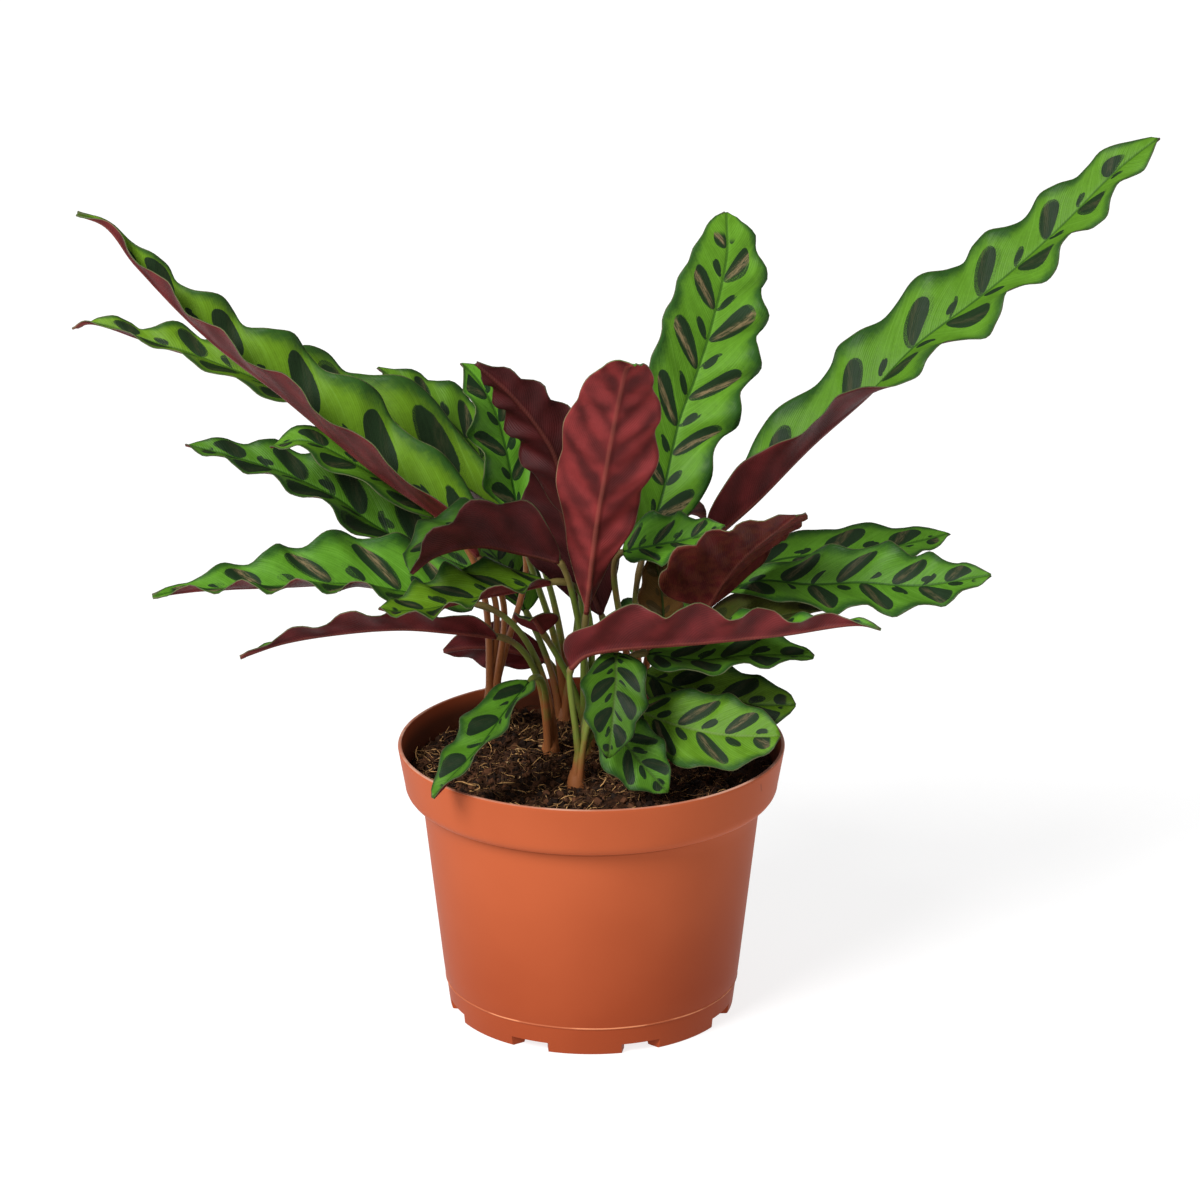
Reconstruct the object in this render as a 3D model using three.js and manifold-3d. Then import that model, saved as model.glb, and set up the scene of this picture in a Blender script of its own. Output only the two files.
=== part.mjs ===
// A potted calathea with long waved leaves, in a plain terracotta-coloured nursery pot.
// Millimetres, +Z up. The origin is on the pot's axis at floor level; the fullest side of the plant faces -Y.
import * as THREE from "three";
import { mergeVertices } from "three/addons/utils/BufferGeometryUtils.js";
import Module from "manifold-3d";

const wasm = await Module();
wasm.setup();

// ---- driving dimensions ----
const POT_HEIGHT = 115;
const RIM_RADIUS = 80;
const COLLAR_FOOT_Z = 92.7; // underside of the collar
const BODY_TOP_RADIUS = 70.3; // body just under the collar
const PARTING_Z = 12.2; // raised moulding line
const PARTING_RADIUS = 61.4;
const FOOT_RADIUS = 59.5;
const FOOT_RING = 5.5; // thickness of the ring that the pot stands on
const POT_WALL = 1.8;
const FLOOR_TOP_Z = 8; // top of the pot's floor
const FOOT_HOLLOW_Z = 5; // underside of the floor, inside the foot ring
const PAD_RADIUS = 12; // central pad, level with the foot
const POT_SEGMENTS = 48;

const NOTCH_COUNT = 8;
const NOTCH_WIDTH = 17; // at the foot's outer edge
const NOTCH_HEIGHT = 4.2;
const NOTCH_DEPTH = 12; // half of it inside the foot's outer edge
const NOTCH_SPLAY = 0.8; // how much wider it is outside than inside, as a share of its width
const NOTCH_TURN = -25; // degrees from the front to the first notch

const SOIL_EDGE_Z = 103;
const SOIL_SWELL = 2.5; // how far the middle stands above the edge
const SOIL_BUMP = 1.3;
const SOIL_RINGS = 7;
const SOIL_SEGMENTS = 32;
const FIT = 0.3; // gap between neighbouring pieces

const BLADE_THICKNESS = 0.7;
const BLADE_ROOT = 1.3; // half width where the blade leaves its stalk
const BLADE_END = 0.7; // half width at the very tip
const WAVE_SLANT = 0.7; // how far a wave leans to the tip per unit of half width
const SCALLOP = 0.75; // how far a wave pushes the margin out per unit of swing
const STATIONS_A_WAVE = 4.5;
const LEAST_STATIONS = 10;
const USUAL_FULL = 0.42;
const USUAL_POINT = 0.75;
const USUAL_BEND = 0.28; // how gently a stalk turns into its blade
const PATH_STEPS = 60;

const STALK_SIDES = 5;
const STALK_STEPS = [0, 0.28, 0.52, 0.72, 0.87, 0.95, 1];
const STALK_FOOT_Z = 101; // inside the sheath
const STALK_RADIUS = 1.6;
const STALK_FOOT_RADIUS = 2;
const STALK_SPREAD = 1.8; // from the middle of the sheath to a stalk
const WRIST_RADIUS = 2; // thicker joint just below the blade
const SHEATH_SIDES = 10;
const SHEATH_FOOT_Z = 92;
const SHEATH_MOUTH_Z = 106;
const SHEATH_TOP_Z = 112;
const SHEATH_RADIUS = 4.2;
const SHEATH_TIP_RADIUS = 2.6;

const COLOURS = {
  terracotta: { color: 0xc0603c, roughness: 0.42, metalness: 0 },
  soil: { color: 0x35261d, roughness: 0.95, metalness: 0 },
  green: { color: 0x3f8a35, roughness: 0.45, metalness: 0 },
  darkGreen: { color: 0x2d6230, roughness: 0.5, metalness: 0 },
  wine: { color: 0x6b2430, roughness: 0.5, metalness: 0 },
  stalk: { color: 0x75803a, roughness: 0.5, metalness: 0 },
  brownStalk: { color: 0x9a6038, roughness: 0.55, metalness: 0 },
};

// ---- leaves ----
// path: the midrib from the stalk to the tip. face: where the upper side looks, at the stalk and at the tip.
// left and right: how far each half folds up, in degrees, evenly spaced along the blade,
// seen from above with the tip ahead. width: across the flat blade at its widest. full: where that is.
// point: how slender the ends are. waves: how many along the blade. lag: where they start, in turns.
// gather: above 1, they are closer together near the tip. swing: how far a margin waves to each side.
// leftSwing: the same for the left half, where it differs. rows: columns in each half.
// bend: how gently the stalk turns into the blade.
const LEAVES = [
  {
    name: "leaf_left_long", colour: "green", shoot: "shoot_left",
    path: [[-46, -6, 197], [-59, -2, 210], [-87, 4, 229], [-125, 10, 260], [-156, 15, 284],
      [-184, 22, 312], [-196, 26, 327], [-208, 30, 331]],
    face: [[0.6, -0.1, 0.78], [0.65, -0.1, 0.75]],
    width: 48, full: 0.32, point: 1.05, left: [40, 35, 35, 44], right: [50, 62, 56, 54], waves: 5.5,
    gather: 1.2, swing: 4.1, leftSwing: 2.4, lag: 0.8, rows: 2,
  },
  {
    name: "leaf_left_long_behind", colour: "green", shoot: "shoot_left",
    path: [[-35, 30, 199], [-61, 37, 217], [-92, 44, 238], [-132, 53, 252], [-160, 59, 262],
      [-185, 64, 269], [-209, 70, 275], [-217, 73, 272]],
    face: [[0.45, -0.1, 0.9], [0.35, -0.1, 0.95]],
    width: 46, full: 0.28, point: 0.9, left: [38, 12, 6, 25], right: [45, 50, 50, 30], waves: 5.5,
    gather: 1.55, swing: 4.8, leftSwing: 1.6, lag: 0.5, rows: 2,
  },
  {
    name: "leaf_left_middle", colour: "green", shoot: "shoot_left",
    path: [[-50, 25, 181], [-86, 34, 195], [-108, 39, 209], [-130, 44, 218], [-152, 48, 224],
      [-169, 53, 227]],
    face: [[0.3, -0.15, 0.9], [0.2, -0.2, 0.95]],
    width: 38, full: 0.28, point: 0.6, left: [8, 12, 10], right: [46, 36, 25], waves: 4.5, gather: 1.25,
    swing: 2.8, leftSwing: 2.4, lag: 0.3, rows: 1,
  },
  {
    name: "leaf_left_hooked", colour: "green", shoot: "shoot_left",
    path: [[-64, 13, 208], [-92, 18, 226], [-117, 24, 237], [-132, 30, 233]],
    face: [[0.3, -0.3, 0.9], [-0.2, -0.3, 0.9]],
    width: 26, full: 0.46, left: [15, 10, 16], right: [20, 14, 14], waves: 2.5, gather: 1.2, swing: 2.9,
    leftSwing: 2.1, lag: 0.2, rows: 1,
  },
  {
    name: "leaf_left_low", colour: "green", shoot: "shoot_left_front",
    path: [[-48, -1, 175], [-66, -4, 179], [-97, -9, 186], [-123, -14, 187], [-162, -20, 187],
      [-177, -24, 186]],
    face: [[0.1, -0.1, 1], [0, -0.1, 1]],
    width: 46, full: 0.28, point: 0.9, left: [12, 22, 30], right: [44, 48, 28], waves: 5, swing: 3.1,
    leftSwing: 3.3, lag: 0.4, rows: 2,
  },
  {
    name: "leaf_left_folded", colour: "wine", shoot: "shoot_left_front",
    path: [[-39, -7, 163], [-58, -18, 169], [-76, -23, 172], [-98, -29, 172.5], [-124, -35, 170],
      [-141, -40, 165.5]],
    face: [[0, 0.5, 0.86], [0, 0.5, 0.86]],
    width: 27, full: 0.36, point: 0.9, left: [16, 24, 24], right: [35, 25, 20], waves: 4.5, swing: 1.8,
    leftSwing: 2.2, lag: 0.3, rows: 1,
  },
  {
    name: "leaf_near_left_wine", colour: "wine", shoot: "shoot_middle",
    path: [[-13, -25, 201], [-27, -30, 206], [-46, -39, 212], [-62, -49, 211], [-71, -56, 206]],
    face: [[0, 0.5, 0.86], [-0.2, 0.5, 0.86]], bend: 0.05,
    width: 48, full: 0.5, point: 0.6, left: [35, 38, 25], right: [60, 60, 40], waves: 3.5, swing: 2.6,
    lag: 0.2, rows: 1,
  },
  {
    name: "leaf_near_left_green", colour: "green", shoot: "shoot_middle",
    path: [[-17, -22, 191], [-29, -28, 190], [-45, -38, 190], [-64, -46, 188], [-78, -52, 189],
      [-84, -54, 191]],
    face: [[0, 0.1, 1], [0, 0, 1]],
    width: 38, full: 0.45, point: 0.7, left: [20, 20, 0], right: [35, 35, 20], waves: 4, swing: 3,
    lag: 0.7, rows: 2,
  },
  {
    name: "leaf_back_left", colour: "green", shoot: "shoot_back",
    path: [[-40, 56, 211], [-56, 64, 230], [-76, 74, 244], [-90, 80, 253]],
    face: [[0.3, -0.5, 0.8], [0.2, -0.4, 0.9]],
    width: 32, point: 0.8, left: [10, 10, 16], right: [15, 15, 15], waves: 3, gather: 1.25, swing: 2.1,
    leftSwing: 2.5, lag: 0, rows: 1,
  },
  {
    name: "leaf_upright_green", colour: "green", shoot: "shoot_back",
    path: [[-29, 23, 200], [-33, 24, 222], [-38, 25, 245], [-46, 26, 262], [-53, 28, 269]],
    face: [[0.3, -0.75, 0.3], [0.5, -0.6, 0.5]],
    width: 32, full: 0.55, left: [10, 10, 10], right: [10, 10, 10], waves: 3, swing: 3.5, lag: 0.9,
    rows: 1,
  },
  {
    name: "leaf_arching_wine", colour: "wine", shoot: "shoot_middle",
    path: [[-9, -6, 214], [-15, -7, 241], [-30, -9, 264], [-46, -12, 280]],
    face: [[0.2, 0.9, 0.1], [0.2, 0.8, 0.5]],
    width: 30, left: [15, 9, 20], right: [10, 10, 20], waves: 4.5, gather: 1.25, swing: 2.6,
    leftSwing: 2.2, lag: 0.2, rows: 1,
  },
  {
    name: "leaf_dark_wine", colour: "wine", shoot: "shoot_middle",
    path: [[4, 13, 166], [-7, 12, 194], [-14, 11, 216], [-21, 10, 235]],
    face: [[0, 1, 0], [0, 1, 0.2]],
    width: 38, full: 0.5, left: [10, 10, 10], right: [10, 10, 10], waves: 3, swing: 2, lag: 0.1, rows: 1,
  },
  {
    name: "leaf_centre_wine", colour: "wine", shoot: "shoot_middle",
    path: [[-2, -16, 176], [2, -28, 216], [7, -38, 250], [11, -47, 275], [14, -58, 291],
      [17, -68, 295]],
    face: [[0, 0.95, 0.3], [0, 0.4, 0.9]],
    width: 39, full: 0.57, point: 0.8, left: [20, 8, 8], right: [20, 15, 12], waves: 5, gather: 1.25,
    swing: 1.2, leftSwing: 2, lag: 0.6, rows: 2,
  },
  {
    name: "leaf_tall_green", colour: "green", shoot: "shoot_right",
    path: [[21, 18, 188], [30, 30, 215], [36, 40, 240], [44, 50, 260], [50, 58, 278], [56, 67, 304],
      [56, 75, 321]],
    face: [[0.1, -0.9, 0.35], [0.3, -0.9, 0.35]],
    width: 45, full: 0.57, point: 0.5, left: [7, 22, -3], right: [20, 14, 3], waves: 6.5, gather: 1.4,
    swing: 3.2, leftSwing: 1, lag: 0.5, rows: 2,
  },
  {
    name: "leaf_right_long", colour: "green", shoot: "shoot_right",
    path: [[50, 20, 196], [67, 22, 211], [91, 27, 235], [113, 31, 254], [133, 36, 274], [163, 42, 296],
      [188, 48, 317], [217, 55, 345], [232, 58, 356]],
    face: [[-0.6, -0.5, 0.6], [-0.3, -0.85, 0.45]],
    width: 45, full: 0.41, point: 0.5, left: [28, 14, 6, -4, -10], right: [115, 76, 30, 38, 31],
    waves: 6.5, gather: 1.2, swing: 4.6, leftSwing: 3.4, lag: 0.9, rows: 2,
  },
  {
    name: "leaf_back_small", colour: "wine", shoot: "shoot_right",
    path: [[27, 50, 178], [34, 58, 188], [42, 64, 194], [48, 68, 190]],
    face: [[-0.2, 0.6, 0.5], [-0.2, 0.5, 0.8]],
    width: 22, left: [15, 15, 15], right: [15, 15, 15], waves: 2, swing: 1.5, lag: 0, rows: 1,
  },
  {
    name: "leaf_curled_small", colour: "green", shoot: "shoot_right",
    path: [[13, 0, 197], [24, -2, 200], [39, -5, 204], [54, -9, 211]],
    face: [[-0.2, -0.6, 0.77], [-0.3, -0.5, 0.8]], bend: 0.12,
    width: 26, full: 0.36, left: [30, 30, 20], right: [20, 20, 20], waves: 3, swing: 2.2, lag: 0.2,
    rows: 1,
  },
  {
    name: "leaf_right_wine", colour: "wine", shoot: "shoot_right_front",
    path: [[47, -10, 176], [53, -18, 190], [62, -28, 205], [73, -38, 218], [81, -45, 227]],
    face: [[-0.2, 0.85, 0.45], [-0.3, 0.75, 0.5]],
    width: 58, full: 0.38, point: 0.5, left: [36, 32, 22], right: [4, 0, -6], waves: 4, swing: 1.8,
    leftSwing: 1.6, lag: 0.5, rows: 2,
  },
  {
    name: "leaf_young_behind", colour: "darkGreen", shoot: "shoot_right_front",
    path: [[30, 10, 162], [29, 9, 176], [27, 7, 188], [24, 4, 197]],
    face: [[0, -1, 0.2], [0, -1, 0.4]],
    width: 20, left: [20, 20, 20], right: [20, 20, 20], waves: 2, swing: 1.2, lag: 0, rows: 1,
  },
  {
    name: "leaf_right_green", colour: "green", shoot: "shoot_right_front",
    path: [[55, 9, 177], [69, 5, 183], [88, 0, 183], [111, -10, 187], [132, -17, 188],
      [161, -24, 195]],
    face: [[-0.1, -0.6, 0.8], [-0.1, -0.6, 0.8]],
    width: 33, full: 0.54, left: [10, 22, 16], right: [5, 14, 4], waves: 4.5, gather: 1.25, swing: 2.6,
    leftSwing: 2.8, lag: 0.6, rows: 2,
  },
  {
    name: "leaf_right_behind", colour: "green", shoot: "shoot_right_front",
    path: [[60, 26, 180], [80, 31, 184], [99, 36, 185], [127, 42, 186], [150, 50, 189]],
    face: [[0, -0.5, 0.85], [0, -0.5, 0.85]],
    width: 27, full: 0.5, left: [4, 4, 10], right: [10, 10, 2], waves: 3, gather: 1.25, swing: 2.6,
    leftSwing: 1.4, lag: 0.2, rows: 1,
  },
  {
    name: "leaf_front_folded", colour: "wine", shoot: "shoot_front",
    path: [[-8, -32, 158], [-2, -36, 165], [10, -40, 169], [44, -52, 176], [75, -60, 182],
      [106, -68, 189], [114, -71, 188]],
    face: [[0, 0.5, 0.86], [0, 0.5, 0.86]], bend: 0.1,
    width: 38, full: 0.3, point: 1, left: [50, 50, 50], right: [40, 35, 30], waves: 4.65, swing: 3.6,
    lag: 0.35, rows: 2,
  },
  {
    name: "leaf_front_right_upper", colour: "green", shoot: "shoot_front",
    path: [[23, -20, 160], [43, -28, 160], [66, -36, 165], [89, -44, 167]],
    face: [[0, -0.1, 1], [0, -0.1, 1]],
    width: 32, point: 0.65, left: [10, 22, 22], right: [0, 4, 0], waves: 3, swing: 2, lag: 0.8, rows: 1,
  },
  {
    name: "leaf_front_right_middle", colour: "green", shoot: "shoot_front",
    path: [[22, -8, 147], [42, -17, 142], [62, -22, 139], [83, -26, 140]],
    face: [[-0.1, -0.75, 0.65], [-0.1, -0.75, 0.65]],
    width: 30, full: 0.45, point: 0.5, left: [6, 6, 6], right: [6, 6, 6], waves: 3, swing: 1.4, lag: 0.6,
    rows: 1,
  },
  {
    name: "leaf_front_right_lower", colour: "green", shoot: "shoot_front",
    path: [[18, -24, 137], [36, -32, 133], [56, -40, 132], [76, -46, 134]],
    face: [[-0.1, -0.75, 0.65], [-0.1, -0.75, 0.65]],
    width: 34, full: 0.5, point: 0.5, left: [8, 8, 8], right: [8, 8, 8], waves: 3, swing: 1.6, lag: 0.2,
    rows: 1,
  },
  {
    name: "leaf_front_hanging", colour: "green", shoot: "shoot_front",
    path: [[10, -30, 164], [10, -42, 157], [9, -51, 147], [8, -56, 137], [7, -57, 128.5]],
    face: [[0, -0.5, 0.9], [0, -0.95, 0.1]],
    width: 27, full: 0.42, left: [15, 10, 10], right: [15, 10, 10], waves: 3, swing: 1.6, lag: 0.4,
    rows: 1,
  },
  {
    name: "leaf_front_hanging_low", colour: "green", shoot: "shoot_front",
    path: [[5, -33, 140], [9, -39, 135], [18, -46, 125], [31, -52, 112]],
    face: [[0, -0.7, 0.6], [0, -0.9, 0.4]],
    width: 26, full: 0.5, left: [8, 8, 8], right: [8, 8, 8], waves: 3, swing: 1.4, lag: 0.2, rows: 1,
  },
  {
    name: "leaf_over_rim", colour: "green", shoot: "shoot_left_front",
    path: [[-25, -20, 148], [-34, -37, 142], [-44, -54, 133], [-54, -64, 125], [-63, -71, 117]],
    face: [[-0.2, -0.4, 0.9], [-0.3, -0.6, 0.8]],
    width: 27, full: 0.42, point: 0.6, left: [38, 42, 46], right: [12, 10, 10], waves: 3, swing: 1.8,
    lag: 0.1, rows: 1,
  },
  {
    name: "leaf_low_wine", colour: "wine", shoot: "shoot_back",
    path: [[-20, 58, 130], [-33, 58, 134], [-48, 58, 136], [-63, 59, 134]],
    face: [[0, 0.95, 0.3], [0, 0.95, 0.3]],
    width: 24, left: [10, 10, 10], right: [10, 10, 10], waves: 2, swing: 1.5, lag: 0, rows: 1,
  },
  {
    name: "leaf_right_low_dark", colour: "darkGreen", shoot: "shoot_right_front",
    path: [[42, 3, 156], [60, 0, 164], [80, -4, 171], [95, -7, 175]],
    face: [[0, -0.3, 0.95], [0, -0.3, 0.95]],
    width: 34, full: 0.38, left: [15, 15, 20], right: [10, 16, 16], waves: 1, swing: 1.6, lag: 0.5,
    rows: 1,
  },
  {
    name: "leaf_small_wine", colour: "wine", shoot: "shoot_middle",
    path: [[-20, -10, 166], [-23, -18, 174], [-25, -26, 177]],
    face: [[0, 0.5, 0.8], [0, 0.5, 0.8]],
    width: 20, left: [15, 15, 15], right: [15, 15, 15], waves: 1, swing: 1, lag: 0, rows: 1,
  },
  {
    name: "leaf_rear_left", colour: "green", shoot: "shoot_back",
    path: [[-28, 64, 150], [-38, 82, 164], [-50, 102, 170], [-62, 122, 166]],
    face: [[0.2, -0.2, 0.95], [-0.2, 0.2, 0.95]],
    width: 32, left: [15, 15, 15], right: [15, 15, 15], waves: 4, swing: 2.5, lag: 0, rows: 1,
  },
  {
    name: "leaf_rear_middle", colour: "green", shoot: "shoot_back",
    path: [[-6, 62, 158], [-9, 82, 178], [-13, 104, 190], [-17, 126, 192]],
    face: [[0.1, -0.4, 0.9], [-0.1, 0.2, 0.95]],
    width: 34, left: [15, 15, 15], right: [15, 15, 15], waves: 4, swing: 2.5, lag: 0.3, rows: 1,
  },
  {
    name: "leaf_rear_right", colour: "green", shoot: "shoot_right",
    path: [[20, 62, 130], [26, 80, 140], [33, 98, 143], [40, 116, 137]],
    face: [[-0.1, -0.2, 0.95], [0.1, 0.3, 0.95]],
    width: 30, left: [15, 15, 15], right: [15, 15, 15], waves: 4, swing: 2.2, lag: 0.6, rows: 1,
  },
];

// Where each leafy shoot stands in the soil.
const SHOOTS = {
  shoot_front: { foot: [-6, -27], colour: "stalk" },
  shoot_left_front: { foot: [-17, 10], colour: "stalk" },
  shoot_left: { foot: [-43, 38], colour: "brownStalk" },
  shoot_middle: { foot: [-2, 6], colour: "stalk" },
  shoot_back: { foot: [-12, 50], colour: "stalk" },
  shoot_right: { foot: [20, 30], colour: "brownStalk" },
  shoot_right_front: { foot: [30, 0], colour: "stalk" },
};

// ---- helpers ----
const vec = (p) => new THREE.Vector3(p[0], p[1], p[2]);
const degrees = THREE.MathUtils.degToRad;
const lerp = THREE.MathUtils.lerp;

function indexed(positions, triangles) {
  const geometry = new THREE.BufferGeometry();
  geometry.setAttribute("position", new THREE.Float32BufferAttribute(positions, 3));
  geometry.setIndex(triangles);
  return geometry;
}

function solidOf(geometry) {
  const bare = new THREE.BufferGeometry();
  bare.setAttribute("position", geometry.getAttribute("position"));
  bare.setIndex(geometry.getIndex());
  const merged = mergeVertices(bare, 1e-3);
  return new wasm.Manifold(
    new wasm.Mesh({
      numProp: 3,
      vertProperties: merged.getAttribute("position").array,
      triVerts: new Uint32Array(merged.getIndex().array),
    }),
  );
}

function geometryOf(solid) {
  const mesh = solid.getMesh();
  return indexed(Array.from(mesh.vertProperties), Array.from(mesh.triVerts));
}

// A profile of [radius, z] pairs turned about the pot's axis.
function turned(profile, segments) {
  const points = profile.map(([radius, z]) => new THREE.Vector2(radius, z));
  return new THREE.LatheGeometry(points, segments).rotateX(Math.PI / 2);
}

// Joins rings of points, each the same number round, and closes both ends with a fan.
function skin(rings) {
  const sides = rings[0].length;
  const positions = [];
  rings.flat().forEach((p) => positions.push(p.x, p.y, p.z));
  const triangles = [];
  for (let i = 0; i + 1 < rings.length; i++) {
    for (let k = 0; k < sides; k++) {
      const a = i * sides + k;
      const b = i * sides + ((k + 1) % sides);
      triangles.push(a, b, b + sides, a, b + sides, a + sides);
    }
  }
  const last = (rings.length - 1) * sides;
  for (let k = 1; k + 1 < sides; k++) {
    triangles.push(0, k + 1, k, last, last + k, last + k + 1);
  }
  return indexed(positions, triangles);
}

// A smooth line through the given points, sampled evenly along its length.
function smoothLine(points, count) {
  const curve = new THREE.CatmullRomCurve3(points.map(vec), false, "centripetal");
  curve.arcLengthDivisions = PATH_STEPS * 4;
  return {
    points: curve.getSpacedPoints(count),
    length: curve.getLength(),
  };
}

// ---- pot ----
function makePot() {
  const innerTop = BODY_TOP_RADIUS - POT_WALL;
  const profile = [
    [0, 0],
    [PAD_RADIUS, 0],
    [PAD_RADIUS + 1, FOOT_HOLLOW_Z],
    [FOOT_RADIUS - FOOT_RING - 1, FOOT_HOLLOW_Z],
    [FOOT_RADIUS - FOOT_RING, 0],
    [FOOT_RADIUS - 0.4, 0],
    [FOOT_RADIUS, 0.5],
    [PARTING_RADIUS - 0.6, PARTING_Z - 0.5],
    [PARTING_RADIUS, PARTING_Z],
    [BODY_TOP_RADIUS, COLLAR_FOOT_Z],
    [BODY_TOP_RADIUS + 3.6, COLLAR_FOOT_Z + 0.8],
    [BODY_TOP_RADIUS + 6.2, COLLAR_FOOT_Z + 3],
    [BODY_TOP_RADIUS + 7.2, COLLAR_FOOT_Z + 6.5],
    [RIM_RADIUS - 0.3, POT_HEIGHT - 2],
    [RIM_RADIUS, POT_HEIGHT - 0.8],
    [RIM_RADIUS - 0.8, POT_HEIGHT],
    [RIM_RADIUS - 1.8, POT_HEIGHT - 0.5],
    [BODY_TOP_RADIUS + 5.4, COLLAR_FOOT_Z + 7],
    [innerTop, COLLAR_FOOT_Z + 2],
    [PARTING_RADIUS - POT_WALL, PARTING_Z],
    [FOOT_RADIUS - 3, FLOOR_TOP_Z],
    [0, FLOOR_TOP_Z],
  ];
  let pot = solidOf(turned(profile, POT_SEGMENTS));
  for (let i = 0; i < NOTCH_COUNT; i++) {
    const notch = new THREE.BoxGeometry(NOTCH_WIDTH, NOTCH_DEPTH, NOTCH_HEIGHT * 2);
    const corners = notch.getAttribute("position");
    for (let k = 0; k < corners.count; k++) {
      corners.setX(k, corners.getX(k) * (1 - (corners.getY(k) / NOTCH_DEPTH) * NOTCH_SPLAY));
    }
    notch.translate(0, -FOOT_RADIUS, 0);
    notch.rotateZ(degrees(NOTCH_TURN + (i * 360) / NOTCH_COUNT));
    pot = pot.subtract(solidOf(notch));
  }
  return geometryOf(pot);
}

// ---- soil ----
// Low uneven mounds, highest near the stalks.
function soilHeight(x, y) {
  const reach = Math.hypot(x, y) / BODY_TOP_RADIUS;
  const bumps =
    Math.sin(x * 0.19 + 1.2) * Math.cos(y * 0.23 - 0.4) +
    0.6 * Math.sin(x * 0.41 - y * 0.33 + 0.7) +
    0.4 * Math.cos(x * 0.57 + y * 0.49);
  return SOIL_EDGE_Z + SOIL_SWELL * (1 - reach * reach) + SOIL_BUMP * bumps * (1 - 0.5 * reach);
}

function makeSoil(holes) {
  const inner = BODY_TOP_RADIUS - POT_WALL - FIT - 0.3;
  const wall = [
    [FOOT_RADIUS - 3.4, FLOOR_TOP_Z + FIT],
    [PARTING_RADIUS - POT_WALL - FIT - 0.2, PARTING_Z],
    [inner, COLLAR_FOOT_Z + 1.6],
    [inner + 6.6, COLLAR_FOOT_Z + 7.2],
    [inner + 7, SOIL_EDGE_Z - 3],
  ];
  const rings = [];
  wall.forEach(([radius, z]) => rings.push({ radius, z }));
  for (let i = SOIL_RINGS; i > 0; i--) {
    rings.push({ radius: ((inner + 7.2) * i) / SOIL_RINGS, z: null });
  }
  const positions = [];
  rings.forEach(({ radius, z }) => {
    for (let k = 0; k < SOIL_SEGMENTS; k++) {
      const angle = (k * 2 * Math.PI) / SOIL_SEGMENTS;
      const x = radius * Math.cos(angle);
      const y = radius * Math.sin(angle);
      positions.push(x, y, z === null ? soilHeight(x, y) : z);
    }
  });
  const bottom = positions.length / 3;
  positions.push(0, 0, FLOOR_TOP_Z + FIT);
  positions.push(0, 0, soilHeight(0, 0));
  const triangles = [];
  const last = (rings.length - 1) * SOIL_SEGMENTS;
  for (let k = 0; k < SOIL_SEGMENTS; k++) {
    const next = (k + 1) % SOIL_SEGMENTS;
    for (let i = 0; i + 1 < rings.length; i++) {
      const a = i * SOIL_SEGMENTS + k;
      const b = i * SOIL_SEGMENTS + next;
      triangles.push(a, b, b + SOIL_SEGMENTS, a, b + SOIL_SEGMENTS, a + SOIL_SEGMENTS);
    }
    triangles.push(next, k, bottom, last + k, last + next, bottom + 1);
  }
  let soil = solidOf(indexed(positions, triangles));
  holes.forEach((hole) => {
    soil = soil.subtract(hole);
  });
  return geometryOf(soil);
}

// ---- leaf blades ----
// Value at a share of the length of a setting given at even steps.
function stepped(values, share) {
  const at = share * (values.length - 1);
  const step = Math.min(values.length - 2, Math.floor(at));
  return lerp(values[step], values[step + 1], at - step);
}

// Half the width of a lance-shaped blade at a share of its length.
function halfWidth(leaf, share) {
  const { full = USUAL_FULL, point = USUAL_POINT } = leaf;
  const skew = Math.log(0.5) / Math.log(full);
  const outline = Math.pow(Math.sin(Math.PI * Math.pow(share, skew)), point);
  return Math.max((leaf.width / 2) * (outline || 0), lerp(BLADE_ROOT, BLADE_END, share));
}

// The middle surface of a blade: rows of points across it, from the stalk to the tip.
function bladeSurface(leaf) {
  const { gather = 1 } = leaf;
  const stations = Math.max(LEAST_STATIONS, Math.round(leaf.waves * gather * STATIONS_A_WAVE));
  const line = smoothLine(leaf.path, stations);
  const rows = [];
  for (let i = 0; i <= stations; i++) {
    const share = i / stations;
    const before = line.points[Math.max(0, i - 1)];
    const after = line.points[Math.min(stations, i + 1)];
    const ahead = after.clone().sub(before).normalize();
    const up = vec(leaf.face[0]).lerp(vec(leaf.face[1]), share);
    up.addScaledVector(ahead, -up.dot(ahead)).normalize();
    const side = ahead.clone().cross(up);
    const half = halfWidth(leaf, share);
    const fade = Math.pow(Math.sin(Math.PI * lerp(0.06, 0.94, share)), 0.7);
    const row = [];
    for (let j = -leaf.rows; j <= leaf.rows; j++) {
      const out = Math.abs(j) / leaf.rows;
      const sign = Math.sign(j);
      const fold = degrees(stepped(sign < 0 ? leaf.left : leaf.right, share));
      const swing = sign < 0 ? leaf.leftSwing ?? leaf.swing : leaf.swing;
      const lean = share - (WAVE_SLANT * half * out) / line.length;
      const waves = leaf.waves * Math.sign(lean) * Math.pow(Math.abs(lean), gather);
      const turns = waves + leaf.lag + (sign < 0 ? 0.5 : 0);
      const wave = Math.sin(2 * Math.PI * turns);
      const crest = Math.cos(2 * Math.PI * turns);
      const reach = (half + SCALLOP * swing * crest * fade * Math.min(1, half / 10)) * out;
      const lift = swing * wave * fade * Math.pow(out, 1.4);
      const outward = side.clone().multiplyScalar(sign * Math.cos(fold));
      outward.addScaledVector(up, Math.sin(fold));
      const normal = side.clone().multiplyScalar(-sign * Math.sin(fold));
      normal.addScaledVector(up, Math.cos(fold));
      const point = line.points[i].clone();
      point.addScaledVector(outward, reach).addScaledVector(normal, lift);
      row.push(point);
    }
    rows.push(row);
  }
  return rows;
}

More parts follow.
